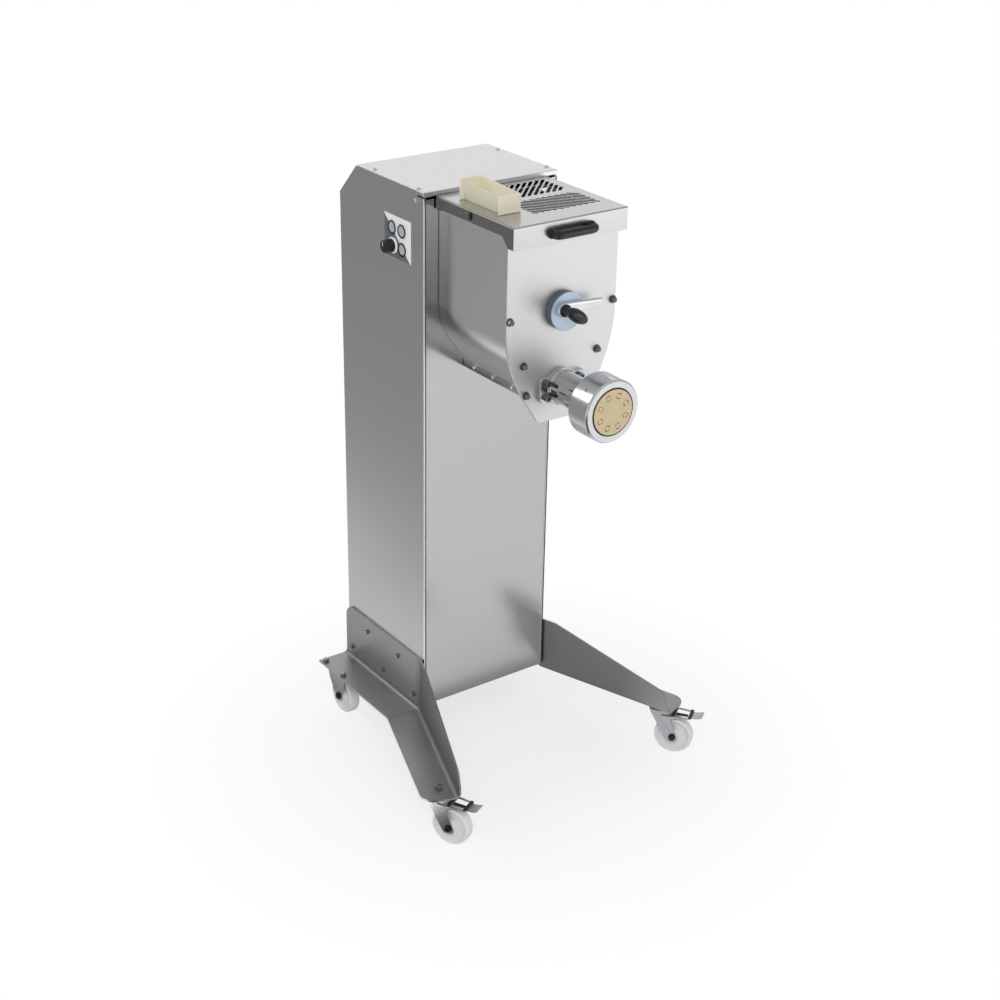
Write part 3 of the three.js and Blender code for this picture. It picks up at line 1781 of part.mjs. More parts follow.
for (const side of ["left", "right"]) {
  const [x, y] = frontCastorPlace();
  const castor = new THREE.Group();
  castor.position.set(side === "left" ? x : -x, y, 0);
  castor.rotation.z = side === "left" ? leftCastorTurn : rightCastorTurn;
  const wheel = new THREE.Group();
  wheel.position.x = castorTrail;
  castor.add(wheel);
  machine.add(castor);
  piece(`front_${side}_castor_head`, swivelHead(), polishedSteel, castor);
  piece(`front_${side}_castor_fork`, swivelFork(), polishedSteel, castor);
  piece(`front_${side}_castor_brake`, brakePedal(), polishedSteel, castor);
  piece(`front_${side}_castor_wheel`, castorWheel(), whiteNylon, wheel);
  piece(`front_${side}_castor_axle`, castorAxle(), gearSteel, wheel);
}

for (const side of ["left", "right"]) {
  const castor = new THREE.Group();
  const x = side === "left" ? -rearCastorAcross : rearCastorAcross;
  castor.position.set(x, rearCastorDepth, 0);
  castor.rotation.z = Math.PI / 2;
  machine.add(castor);
  piece(`rear_${side}_castor_fork`, rigidFork(), polishedSteel, castor);
  piece(`rear_${side}_castor_wheel`, castorWheel(), whiteNylon, castor);
  piece(`rear_${side}_castor_axle`, castorAxle(), gearSteel, castor);
}

// The origin is the middle of the machine's outer box, on the floor.
machine.updateMatrixWorld(true);
const bounds = new THREE.Box3().setFromObject(machine, true);
machine.position.set(
  -(bounds.min.x + bounds.max.x) / 2,
  -(bounds.min.y + bounds.max.y) / 2,
  -bounds.min.z,
);

const part = new THREE.Group();
part.add(machine);

export default part;
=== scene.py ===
"""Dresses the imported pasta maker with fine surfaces, fasteners and finishes, and lights it."""
import json
import math

import bmesh
import bpy
import numpy as np
from bpy.props import FloatProperty, FloatVectorProperty, IntProperty, PointerProperty
from mathutils import Matrix, Vector
from mathutils.geometry import tessellate_polygon

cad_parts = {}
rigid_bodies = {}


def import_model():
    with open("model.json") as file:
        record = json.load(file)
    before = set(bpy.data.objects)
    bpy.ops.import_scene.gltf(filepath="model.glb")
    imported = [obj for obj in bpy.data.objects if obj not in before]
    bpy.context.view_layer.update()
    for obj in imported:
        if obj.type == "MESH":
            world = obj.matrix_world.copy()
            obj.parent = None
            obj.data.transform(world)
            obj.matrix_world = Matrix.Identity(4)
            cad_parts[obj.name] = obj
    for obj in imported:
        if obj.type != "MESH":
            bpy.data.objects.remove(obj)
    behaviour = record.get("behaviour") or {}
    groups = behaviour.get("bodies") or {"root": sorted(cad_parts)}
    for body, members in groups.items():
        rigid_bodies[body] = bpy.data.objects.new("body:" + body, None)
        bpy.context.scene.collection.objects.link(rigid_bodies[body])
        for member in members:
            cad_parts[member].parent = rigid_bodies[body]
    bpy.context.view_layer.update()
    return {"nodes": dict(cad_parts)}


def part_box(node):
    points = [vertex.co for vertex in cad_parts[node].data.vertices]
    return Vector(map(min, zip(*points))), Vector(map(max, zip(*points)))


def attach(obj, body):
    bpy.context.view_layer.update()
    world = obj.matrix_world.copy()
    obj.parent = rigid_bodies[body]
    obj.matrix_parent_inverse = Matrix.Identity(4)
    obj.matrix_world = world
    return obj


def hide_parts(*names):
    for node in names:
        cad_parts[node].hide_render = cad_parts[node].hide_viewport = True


bl_info = {
    "name": "Pasta maker",
    "version": (1, 0, 0),
    "blender": (4, 5, 0),
    "location": "3D View > Sidebar > Pasta maker",
    "description": "Builds the finished surfaces of a wheeled pasta maker on its packed frame",
    "category": "Object",
}

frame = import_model()

# Points are worked out in the machine's own millimetres: x to the right from the middle of
# the column, y to the rear from its front face, z up from its bottom edge.
MM = 0.001
column_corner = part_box("left_side_panel")[0]
ORIGIN = np.array([column_corner.x + 0.150, column_corner.y, column_corner.z])
FLOOR = -ORIGIN[2] / MM
FORWARD = (0.0, -1.0, 0.0)
LEFTWARD = (-1.0, 0.0, 0.0)
UPWARD = (0.0, 0.0, 1.0)

# Heights of the mixing shaft and the auger, the radii of the holes that they go through, and
# the places that share their heights.
SHAFT_RISE = 890.0
AUGER_RISE = 745.0
SHAFT_HOLE = 12.3
BARREL_HOLE = 25.2
SHAFT = (0, 0, SHAFT_RISE)
AUGER = (0, 0, AUGER_RISE)

# Heights of the tub's rim and of its lower rear rim, and the y of its front flange and of the
# plate before it.
RIM_RISE = 1046.0
REAR_RIM_RISE = 1035.5
TUB_FRONT = -217.0
PLATE_FRONT = -220.3

# The lid's top face, its bend radius and its sheet.
LID_TOP = 1063.0
LID_BEND = 3.0
LID_WALL = 1.2

# The left leg: its corner at the column, the splay of its arm, the underside of its flange, the
# lengths of its rear part and of its arm from the corner, the heights of its web, the width of
# its flange, the radius of their outlines' corners and the thickness of its sheet.
LEG_CORNER = np.array([-154.3, 10.0])
LEG_SPLAY = math.radians(19.65)
LEG_UNDER = -14.0
LEG_REAR = 285.0
LEG_ARM = 318.0
LEG_HEIGHT = 104.0
LEG_TIP_HEIGHT = 35.0
LEG_WIDTH = 70.0
LEG_ROUND = 28.0
LEG_SHEET = 4.0

# Height of a wheel's axle above the floor.
AXLE_RISE = 40.0


def length_property(name, description, default, low, high):
    """A length in metres that the sidebar shows."""
    return FloatProperty(
        name=name, description=description, default=default, min=low, max=high, unit="LENGTH"
    )


def colour_property(name, description, default):
    """A colour that the sidebar shows."""
    return FloatVectorProperty(
        name=name, description=description, default=default, subtype="COLOR", min=0, max=1
    )


class PastaMakerSizes(bpy.types.PropertyGroup):
    """Sizes of the fine pieces that a user may change."""

    edge_round: length_property(
        "Edge round", "Radius on the edges of the sheet metal", 0.0007, 0.0001, 0.003
    )
    leg_bend: length_property(
        "Leg bend", "Inner radius of the bend between a leg's web and its flange", 0.009, 0.001, 0.02
    )
    cap_nut: length_property(
        "Cap nut", "Width across flats of the cap nuts on the hopper's front plate", 0.011, 0.006, 0.02
    )
    cover_screw: length_property(
        "Cover screw", "Head diameter of the screws in the covers", 0.009, 0.004, 0.016
    )
    turning_sides: IntProperty(
        name="Turning sides",
        description="Number of sides of the wheels and of the die's turned body",
        default=96,
        min=24,
        max=256,
    )


class PastaMakerFinishes(bpy.types.PropertyGroup):
    """Colours of the finishes that a user may change."""

    steel: colour_property("Brushed steel", "Colour of the sheet steel", (0.69, 0.69, 0.685))
    polished: colour_property("Polished steel", "Colour of turned and polished steel", (0.8, 0.81, 0.83))
    die: colour_property("Die", "Colour of the bronze die", (0.66, 0.54, 0.34))
    knob: colour_property("Knobs", "Colour of the handle and the knobs", (0.012, 0.012, 0.013))
    tray: colour_property("Tray", "Colour of the liquid tray", (0.82, 0.775, 0.62))
    wheel: colour_property("Wheels", "Colour of the castor wheels", (0.75, 0.76, 0.77))
    cap: colour_property("Shaft cap", "Colour of the mixing shaft's cap", (0.50, 0.60, 0.72))


def sizes():
    """The sizes that the sidebar shows."""
    return bpy.context.scene.pasta_maker_sizes


def finishes():
    """The colours that the sidebar shows."""
    return bpy.context.scene.pasta_maker_finishes


# Shader expressions


class Value:
    """A socket of a node tree that adds Math nodes when it is used in an expression."""

    def __init__(self, graph, socket):
        self.graph = graph
        self.socket = socket

    def __add__(self, other):
        return self.graph.math("ADD", self, other)

    def __sub__(self, other):
        return self.graph.math("SUBTRACT", self, other)

    def __rsub__(self, other):
        return self.graph.math("SUBTRACT", other, self)

    def __mul__(self, other):
        return self.graph.math("MULTIPLY", self, other)

    def __truediv__(self, other):
        return self.graph.math("DIVIDE", self, other)

    __radd__ = __add__
    __rmul__ = __mul__

    def clipped(self):
        """The value held between 0 and 1."""
        return self.graph.math("MINIMUM", self.graph.math("MAXIMUM", self, 0.0), 1.0)


class Graph:
    """The nodes of a material or of the world."""

    def __init__(self, owner):
        owner.use_nodes = True
        self.owner = owner
        self.tree = owner.node_tree
        self.tree.nodes.clear()

    def feed(self, socket, value):
        """Links a socket to a value or to a node's first output, or sets it to a number or colour."""
        if isinstance(value, bpy.types.Node):
            value = Value(self, value.outputs[0])
        if isinstance(value, Value):
            self.tree.links.new(value.socket, socket)
        elif socket.type == "RGBA":
            socket.default_value = (*value, 1.0)
        else:
            socket.default_value = value

    def node(self, kind, settings=None, **inputs):
        """Adds a node of a kind, with its settings first and then its sockets, which go by name
        or, after an underline, by number."""
        node = self.tree.nodes.new(kind)
        for key, value in (settings or {}).items():
            setattr(node, key, value)
        for key, value in inputs.items():
            name = int(key[1:]) if key[1:].isdigit() else key.replace("_", " ")
            self.feed(node.inputs[name], value)
        return node

    def math(self, operation, *values):
        """One Math node as a value."""
        node = self.node("ShaderNodeMath", {"operation": operation})
        for socket, value in zip(node.inputs, values):
            self.feed(socket, value)
        return Value(self, node.outputs[0])

    def place(self, scale=(1, 1, 1)):
        """Object coordinates times a scale for each axis."""
        coordinates = self.node("ShaderNodeTexCoord")
        source = Value(self, coordinates.outputs["Object"])
        return self.node("ShaderNodeMapping", Vector=source, Scale=scale)

    def parts(self):
        """The x, y and z of the Object coordinates in metres."""
        split = self.node("ShaderNodeSeparateXYZ", Vector=self.place())
        return [Value(self, output) for output in split.outputs]

    def noise(self, scale, detail=3.0, roughness=0.5):
        """Noise from 0 to 1 over Object coordinates times a scale, which is one number or three."""
        place = self.place(np.broadcast_to(scale, 3).astype(float).tolist())
        node = self.node(
            "ShaderNodeTexNoise", Vector=place, Scale=1.0, Detail=detail, Roughness=roughness
        )
        return Value(self, node.outputs[0])

    def blend(self, share, first, second):
        """A colour between two colours."""
        node = self.node("ShaderNodeMix", {"data_type": "RGBA"}, _0=share, _6=first, _7=second)
        return Value(self, node.outputs[2])

    def ramp(self, share, tones):
        """Greys by a share from 0 to 1, each tone a share and its grey."""
        node = self.node("ShaderNodeValToRGB", Fac=share)
        elements = node.color_ramp.elements
        while len(elements) < len(tones):
            elements.new(0.5)
        for element, (position, grey) in zip(elements, tones):
            element.position = position
            element.color = (grey, grey, grey, 1.0)
        return node

    def bump(self, height, strength, distance):
        """A normal raised by a height."""
        return self.node("ShaderNodeBump", Height=height, Strength=strength, Distance=distance)

    def ray(self, kind):
        """1 for rays of a kind and 0 for others."""
        return Value(self, self.node("ShaderNodeLightPath").outputs[f"Is {kind} Ray"])

    def straight(self):
        """1 for rays from the camera, also through clear things, and 0 for others."""
        return self.math("MAXIMUM", self.ray("Camera"), self.ray("Transmission"))

    def close(self, shader, output="ShaderNodeOutputMaterial"):
        """Ends the nodes with a shader."""
        self.node(output, _0=shader)
        return self.owner

    def finish(self, **inputs):
        """Ends the nodes of a material with one shader for all of its surface."""
        return self.close(self.node("ShaderNodeBsdfPrincipled", **inputs))


def tone(colour, share):
    """A colour made lighter or darker."""
    return tuple(min(1.0, channel * share) for channel in colour)


# Finishes


def brushed(made, grain, low=0.30, high=0.40, brightness=1.0):
    """Sheet steel with fine scratches along one axis, soft clouds and faint handling marks."""
    fine_scale, broad_scale = np.full(3, 900.0), np.full(3, 160.0)
    fine_scale["xyz".index(grain)] = 6
    broad_scale["xyz".index(grain)] = 2
    steel = tone(finishes().steel, brightness)
    fine = made.noise(fine_scale, 4.0, 0.65)
    broad = made.noise(broad_scale, 3.0, 0.6)
    cloud = made.noise(3.1, 2.0, 0.5)
    scratch = fine * 0.6 + broad * 0.4
    colour = made.blend(scratch, tone(steel, 0.93), tone(steel, 1.05))
    return made.finish(
        Base_Color=made.blend(cloud, tone(steel, 0.97), colour),
        Metallic=1.0,
        Roughness=low + (high - low) * (scratch * 0.7 + cloud * 0.3),
        Normal=made.bump(scratch, 0.10, 0.0004),
    )


def polished(made, low=0.10, high=0.22, share=1.0):
    """Turned steel with hair-fine marks and slight haze."""
    steel = tone(finishes().polished, share)
    haze = made.noise(40, 3.0, 0.55)
    hair = made.noise((400, 1500, 400), 2.0, 0.6)
    return made.finish(
        Base_Color=made.blend(haze, tone(steel, 0.95), tone(steel, 1.03)),
        Metallic=1.0,
        Roughness=low + (high - low) * haze,
        Normal=made.bump(hair, 0.04, 0.0002),
    )


def plain_metal(made, colour, low, high):
    """Cast or plated metal with a slightly uneven skin."""
    skin = made.noise(90, 4.0, 0.6)
    return made.finish(
        Base_Color=made.blend(skin, tone(colour, 0.85), tone(colour, 1.08)),
        Metallic=1.0,
        Roughness=low + (high - low) * skin,
        Normal=made.bump(skin, 0.12, 0.0006),
    )


def moulded(made, colour, low, high, grain=700.0, depth=0.08):
    """Moulded plastic with a fine grain and faint unevenness; its colour may be the name of one
    that the sidebar shows."""
    colour = getattr(finishes(), colour) if isinstance(colour, str) else colour
    cloud = made.noise(14, 3.0, 0.5)
    skin = made.noise(grain, 3.0, 0.6)
    return made.finish(
        Base_Color=made.blend(cloud, tone(colour, 0.94), tone(colour, 1.05)),
        Roughness=low + (high - low) * cloud,
        Normal=made.bump(skin, depth, 0.0003),
    )


def turned_bronze(made):
    """Dull bronze with turned rings round the die's axis and darker blotches."""
    bronze = finishes().die
    x, _, z = made.parts()
    across = x - float(ORIGIN[0])
    rise = z - float(ORIGIN[2] + AUGER_RISE * MM)
    radius = made.math("SQRT", across * across + rise * rise)
    rings = made.math("SINE", radius * 5200.0) * 0.5 + 0.5
    blotch = made.noise(170, 4.0, 0.65)
    return made.finish(
        Base_Color=made.blend(blotch, tone(bronze, 0.86), tone(bronze, 1.12)),
        Metallic=0.35,
        Roughness=0.42 + 0.18 * blotch,
        Normal=made.bump(rings * 0.5 + blotch * 0.5, 0.12, 0.0003),
    )


def film_with_painted_reflection(made):
    """Glossy white film with a painted reflection: dark blue-grey behind a diagonal from top rear to
    lower front.
    """
    _, y, z = made.parts()
    low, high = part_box("control_plate")
    along = (y - low.y) / (high.y - low.y)
    rise = (z - low.z) / (high.z - low.z)
    # Share of the painted reflection, sharp along the diagonal.
    side = ((rise - along + 0.04) * 30.0).clipped()
    cloud = made.noise(60, 2.0, 0.5)
    dark = made.blend(cloud, (0.10, 0.115, 0.14), (0.15, 0.165, 0.20))
    return made.finish(
        Base_Color=made.blend(side, dark, (0.87, 0.88, 0.91)),
        Roughness=0.12 + 0.06 * cloud,
        Normal=made.bump(cloud, 0.02, 0.0003),
    )


def cap_skin_painted_rim_shade(made):
    """Pale blue-grey skin on the front face, much darker on the rim behind it: painted shade."""
    colour = tuple(finishes().cap)
    _, y, _ = made.parts()
    # The rim behind the front face, which gets painted shade at about a quarter of the cap's tone.
    rim = ((y - float(ORIGIN[1] - 0.2358)) * 900.0).clipped()
    cloud = made.noise(45, 3.0, 0.5)
    face = made.blend(cloud, tone(colour, 0.92), tone(colour, 1.06))
    return made.finish(
        Base_Color=made.blend(rim, face, tone(colour, 0.26)),
        Metallic=0.45,
        Roughness=0.3 + 0.12 * cloud,
        Normal=made.bump(cloud, 0.03, 0.0004),
    )


# Each finish by name: its recipe and the values that the recipe takes.
RECIPES = {
    "brushed_steel_z": (brushed, "z"),
    "front_skin": (brushed, "z", 0.15, 0.22, 0.88),
    "cover_steel": (brushed, "y", 0.32, 0.42, 1.2),
    "tub_steel": (brushed, "y", 0.22, 0.3, 1.36),
    "front_steel": (brushed, "x", 0.42, 0.52, 1.16),
    # A darker copy of the sheet steel for the lid's skirts: painted shade on the lid's sides.
    "skirt_steel": (brushed, "y", 0.28, 0.38, 0.5),
    "lid_steel": (brushed, "x", 0.22, 0.3, 0.85),
    "leg_steel": (brushed, "y", 0.32, 0.42, 0.58),
    "polished_steel": (polished,),
    "satin_steel": (polished, 0.2, 0.34, 0.97),
    # Polished steel brightened to white for the cut edge: a painted highlight.
    "cut_steel": (polished, 0.2, 0.3, 1.42),
    "nut_steel": (polished, 0.08, 0.2, 0.3),
    "bolt_steel": (polished, 0.1, 0.22, 0.45),
    "barrel_steel": (polished, 0.06, 0.13, 0.8),
    "nut_polish": (polished, 0.2, 0.28, 0.98),
    "lever_steel": (polished, 0.16, 0.26, 1.0),
    "plated_zinc": (plain_metal, (0.54, 0.55, 0.57), 0.26, 0.42),
    "dark_metal": (plain_metal, (0.05, 0.05, 0.055), 0.3, 0.45),
    "cast_metal": (plain_metal, (0.28, 0.30, 0.32), 0.5, 0.68),
    "gear_steel": (plain_metal, (0.40, 0.41, 0.43), 0.3, 0.45),
    "bush_bronze": (plain_metal, (0.62, 0.45, 0.24), 0.3, 0.5),
    "black_plastic": (moulded, "knob", 0.08, 0.2, 400.0, 0.03),
    "matt_black": (moulded, (0.016, 0.016, 0.017), 0.45, 0.6),
    "button_grey": (moulded, (0.46, 0.47, 0.49), 0.12, 0.22),
    "white_ring": (moulded, (0.86, 0.87, 0.88), 0.2, 0.3),
    "cream_plastic": (moulded, "tray", 0.3, 0.42, 300.0, 0.05),
    "white_nylon": (moulded, "wheel", 0.32, 0.45, 260.0, 0.05),
    # The control plate's film, with its painted reflection.
    "label_film": (film_with_painted_reflection,),
    "die_bronze": (turned_bronze,),
    "cap_metal": (cap_skin_painted_rim_shade,),
}
made_finishes = {}


def shared(name):
    """One material by name, made when it is first asked for."""
    if name not in made_finishes:
        recipe, *values = RECIPES[name]
        made_finishes[name] = recipe(Graph(bpy.data.materials.new(name)), *values)
    return made_finishes[name]


# Outlines


def unit(vectors):
    """Vectors divided by their lengths."""
    lengths = np.linalg.norm(vectors, axis=-1, keepdims=True)
    return vectors / np.maximum(lengths, 1e-9)


def heading(angle):
    """The flat direction (cos a, sin a) of each angle."""
    return np.stack([np.cos(angle), np.sin(angle)], -1)


def bent(start, corner, end, t):
    """A curve from start to end that is drawn to a corner: (1-t)^2 a + 2t(1-t) b + t^2 c."""
    return (1 - t) ** 2 * start + 2 * t * (1 - t) * corner + t**2 * end


def rounded(points, radius, closed=True, steps=4):
    """Rounds each corner of an outline by a bent curve that starts and ends a radius away from
    the corner, or less on short sides."""
    points = np.asarray(points, float)
    before = np.roll(points, 1, 0) - points
    after = np.roll(points, -1, 0) - points
    if not closed:
        before[0] = 0
        after[-1] = 0
    reach_before = np.minimum(radius, 0.48 * np.linalg.norm(before, axis=1))[:, None]
    reach_after = np.minimum(radius, 0.48 * np.linalg.norm(after, axis=1))[:, None]
    start = (points + unit(before) * reach_before)[:, None]
    end = (points + unit(after) * reach_after)[:, None]
    curve = bent(start, points[:, None], end, np.linspace(0, 1, steps + 1)[None, :, None])
    return curve.reshape(-1, points.shape[1])


def circle(centre, radius, sides=32, start=0.0):
    """Points round a circle, against the clock."""
    turn = start + np.linspace(0, 2 * np.pi, sides, endpoint=False)
    return np.asarray(centre, float) + radius * heading(turn)


def rectangle(left, low, right, high):
    """The four corners of a rectangle, round from its first."""
    return [(left, low), (right, low), (right, high), (left, high)]


def mirrored(half, signs=(-1, 1)):
    """Half an outline and its mirror image, joined."""
    half = np.asarray(half, float)
    return np.concatenate([half, (half * signs)[::-1]])


def area(loop):
    """Signed area of a flat outline: half the sum of x y' - x' y."""
    x, y = loop.T
    return 0.5 * np.sum(x * np.roll(y, -1) - np.roll(x, -1) * y)


def flat(u, v, t):
    """Points across, back and then up, from arrays that spread over each other."""
    return np.stack(np.broadcast_arrays(u, v, t), -1)


def upright(u, v, t):
    """Points across, up and then back: an outline seen from the front."""
    return flat(u, t, v)


def sideways(u, v, t):
    """Points back, up and then across: an outline seen from the side."""
    return flat(t, u, v)


def box(node):
    """Low and high corner of a CAD node in the machine's millimetres."""
    return [(np.array(corner) - ORIGIN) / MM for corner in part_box(node)]


def middle(node):
    """Middle of a CAD node's box in the machine's millimetres."""
    low, high = box(node)
    return (low + high) / 2


# Surfaces


class Shell:
    """Gathers the grids and caps of one piece, in millimetres."""

    def __init__(self):
        self.points = []
        self.faces = []
        self.total = 0

    def add(self, points, faces):
        """Adds points and the faces between them."""
        points = np.asarray(points, float).reshape(-1, 3)
        self.points.append(points)
        self.faces.extend((np.asarray(faces) + self.total).tolist())
        self.total += len(points)

    def grid(self, rows, wrap_rows=False, wrap_columns=False):
        """Joins a grid of points into four-sided faces, point i, j to its next neighbours."""
        count, width = rows.shape[:2]
        i = np.arange(count if wrap_rows else count - 1)
        j = np.arange(width if wrap_columns else width - 1)
        row, column = np.meshgrid(i, j, indexing="ij")
        beside = (column + 1) % width
        above = (row + 1) % count * width
        row = row * width
        faces = np.stack([row + column, row + beside, above + beside, above + column], -1)
        self.add(rows, faces.reshape(-1, 4))

    def cap(self, loops):
        """Fills a flat outline, less the outlines of its holes."""
        filled = tessellate_polygon([[Vector(point) for point in loop] for loop in loops])
        self.add(np.concatenate(loops), filled)

    def bar(self, rows):
        """Joins closed sections into a bar with a cap at each end."""
        self.grid(rows, wrap_columns=True)
        self.cap([rows[0]])
        self.cap([rows[-1]])

    def moved(self, angle, origin):
        """Turns every point about the upright axis and shifts it."""
        cosine, sine = math.cos(angle), math.sin(angle)
        turn = np.array([[cosine, -sine, 0], [sine, cosine, 0], [0, 0, 1]])
        self.points = [points @ turn.T + np.asarray(origin, float) for points in self.points]
        return self


def plate(shell, loops, low, high, edge, place, steps=3):
    """A flat plate with rounded edges. Each ring of a loop is the loop moved inwards by
    edge (1 - sin a) at a height of edge (1 - cos a) from the face."""
    rings = []
    angles = np.linspace(0, np.pi / 2, steps + 1)
    insets = edge * (1 - np.sin(angles))
    rises = edge * (1 - np.cos(angles))
    insets = np.concatenate([insets, insets[::-1]])
    heights = np.concatenate([low + rises, high - rises[::-1]])
    for index, loop in enumerate(loops):
        loop = np.asarray(loop, float)
        if (area(loop) > 0) != (index == 0):
            loop = loop[::-1]
        ahead = unit(np.roll(loop, -1, 0) - loop)
        behind = unit(loop - np.roll(loop, 1, 0))
        normal = np.stack([ahead[:, 1] + behind[:, 1], -ahead[:, 0] - behind[:, 0]], -1)
        half_cosine = np.maximum(np.sqrt((1 + np.sum(ahead * behind, 1)) / 2), 0.35)
        mitre = unit(normal) / half_cosine[:, None]
        ring = loop[None] - insets[:, None, None] * mitre[None]
        rings.append(place(ring[..., 0], ring[..., 1], heights[:, None]))
    for ring in rings:
        shell.grid(ring, wrap_columns=True)
    shell.cap([ring[0] for ring in rings])
    shell.cap([ring[-1] for ring in rings])


def turned(shell, profile, centre, axis, sides=None, closed=False, start=0.0):
    """Turns a profile of (r, h) round an axis: centre + axis h + r (side cos a + other sin a)."""
    sides = sides or sizes().turning_sides
    profile = np.asarray(profile, float)
    axis = unit(np.asarray(axis, float))
    side = unit(np.cross(axis, UPWARD if abs(axis[2]) < 0.9 else (1.0, 0.0, 0.0)))
    other = np.cross(axis, side)
    turn = start + np.linspace(0, 2 * np.pi, sides, endpoint=False)
    around = np.cos(turn)[:, None] * side + np.sin(turn)[:, None] * other
    along = profile[:, 1, None, None] * axis
    rows = np.asarray(centre, float) + along + profile[:, 0, None, None] * around
    shell.grid(rows, wrap_rows=closed, wrap_columns=True)


def swept(shell, path, section):
    """Carries a closed section along a level path: path point + u up + v (tangent x up)."""
    across = unit(np.cross(unit(np.gradient(path, axis=0)), UPWARD))
    u, v = np.asarray(section, float).T
    shell.bar(path[:, None] + u[:, None] * UPWARD + v[:, None] * across[:, None])


# Objects


def meshed(name, shell):
    """A shell's mesh with its doubled points joined and its faces turned outwards."""
    points = np.concatenate(shell.points) * MM + ORIGIN
    mesh = bpy.data.meshes.new(name)
    mesh.from_pydata(points.tolist(), [], shell.faces)
    work = bmesh.new()
    work.from_mesh(mesh)
    bmesh.ops.remove_doubles(work, verts=work.verts, dist=2e-6)
    bmesh.ops.dissolve_degenerate(work, dist=1e-6, edges=work.edges)
    bmesh.ops.recalc_face_normals(work, faces=work.faces)
    work.to_mesh(mesh)
    work.free()
    return mesh


def placed(name, mesh, body, finish, replaces, crease=38.0):
    """Puts a finished mesh into the scene."""
    mesh.shade_smooth()
    mesh.set_sharp_from_angle(angle=math.radians(crease))
    obj = bpy.data.objects.new(name, mesh)
    bpy.context.scene.collection.objects.link(obj)
    obj.data.materials.append(shared(finish))
    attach(obj, body)
    if replaces:
        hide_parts(*replaces)
    return obj


def bevelled(obj, width, angle):
    """Rounds the edges of an object that are sharper than an angle in degrees."""
    edge = obj.modifiers.new("edge", "BEVEL")
    edge.width = width
    edge.segments = 2
    edge.limit_method = "ANGLE"
    edge.angle_limit = math.radians(angle)


def levelled(obj):
    """Lets large flats keep their own normals beside rounded edges."""
    weigh = obj.modifiers.new("level", "WEIGHTED_NORMAL")
    weigh.mode = "FACE_AREA"
    weigh.weight = 80
    weigh.keep_sharp = True


def make(name, shell, body, finish, replaces=(), crease=38.0):
    """Turns a shell into an object that rides on a body and stands for CAD nodes."""
    levelled(placed(name, meshed(name, shell), body, finish, replaces, crease))


def remade(node, shell, body, finish, crease=38.0):
    """Turns a shell into the object that stands for one CAD node."""
    make(f"{node}_fine", shell, body, finish, (node,), crease)


def softened(node, body, finish, width=None):
    """A copy of a CAD node with its flats merged and its edges rounded by a bevel."""
    mesh = frame["nodes"][node].data.copy()
    mesh.name = f"{node}_fine"
    mesh.materials.clear()
    work = bmesh.new()
    work.from_mesh(mesh)
    bmesh.ops.remove_doubles(work, verts=work.verts, dist=5e-6)
    bmesh.ops.dissolve_limit(
        work, angle_limit=math.radians(1.0), verts=work.verts, edges=work.edges
    )
    work.to_mesh(mesh)
    work.free()
    obj = placed(f"{node}_fine", mesh, body, finish, (node,))
    bevelled(obj, width or sizes().edge_round, 32)
    levelled(obj)


def dressed(finish, *nodes):
    """Gives CAD nodes that stay a finish."""
    for node in nodes:
        data = frame["nodes"][node].data
        data.materials.clear()
        data.materials.append(shared(finish))


# Fasteners


def screw(shell, place, axis, diameter, height=2.6):
    """A low domed screw head with a round recess, over a short rim."""
    radius = diameter / 2
    recess = radius * 0.42
    profile = [
        (0, height * 0.45),
        (recess, height * 0.45),
        (recess, height * 0.96),
        (radius * 0.66, height * 0.9),
        (radius * 0.9, height * 0.62),
        (radius, height * 0.3),
        (radius, 0),
        (0, 0),
    ]
    turned(shell, profile, place, axis, 24)


def pin(shell, place, axis, radius, low, high, sides, edge=0.0):
    """A round pin along an axis from low to high, with rounded edges if an edge is given."""
    profile = rectangle(0, low, radius, high)
    if edge:
        profile = rounded(profile, edge, closed=False)
    turned(shell, profile, place, axis, sides)


def nut(shell, place, axis, washer, across, height, start=0.0):
    """A washer of (radius, thickness) under a hexagon with chamfered corners, which is a
    six-sided turn under a flat cone."""
    radius, thickness = washer
    pin(shell, place, axis, radius, 0, thickness, 32, thickness * 0.3)
    corner = across / math.sqrt(3)
    profile = [
        (0, 0),
        (corner, 0),
        (corner, height * 0.84),
        (corner * 0.86, height),
        (0, height),
    ]
    seat = np.asarray(place, float) + thickness * np.asarray(axis, float)
    turned(shell, profile, seat, axis, 6, start=start)


def cap_nut(shell, place, axis, across):
    """A washer, a hexagon and a dome, whose profile is a quarter ellipse."""
    nut(shell, place, axis, (across * 0.72, 1.4), across, across * 0.5)
    dome = across * heading(np.linspace(0, np.pi / 2, 9)) * [0.44, 0.42]
    seat = np.asarray(place, float) + (1.4 + across * 0.48) * np.asarray(axis, float)
    turned(shell, [*dome, (0, 0)], seat, axis, 24)


def build_cover_screws():
    """Screws of the top cover, the column's sides and the lid's skirts."""
    diameter = sizes().cover_screw / MM
    top = box("top_cover")[1][2]
    cover, panel, skirt = Shell(), Shell(), Shell()
    for x, y in ((-143, 25), (143, 25), (-140, 178), (140, 178)):
        screw(cover, (x, y, top), UPWARD, diameter)
    for side in (-1, 1):
        outward = (side, 0, 0)
        screw(panel, (side * 150, 26, 1051), outward, diameter * 0.8, 2)
        for y in (-34, -94, -154):
            screw(panel, (side * 60, y, 730), outward, diameter * 0.72, 1.8)
        for y in (-20, -62, -104):
            screw(skirt, (side * 125, y, 1052), outward, diameter * 0.75, 2.4)
    make("cover_screws", cover, "machine", "polished_steel")
    make("panel_screws", panel, "machine", "polished_steel")
    make("skirt_screws", skirt, "lid_body", "nut_steel")


def build_cap_nuts():
    """Cap nuts that hold the hopper's front plate."""
    nuts = Shell()
    face = box("hopper_front_plate")[0][1]
    for x, z in ((115, 887), (83, 798), (76, 740)):
        for side in (-1, 1):
            cap_nut(nuts, (side * x, face, z), FORWARD, sizes().cap_nut / MM)
    make("cap_nuts", nuts, "machine", "nut_steel")


# Column


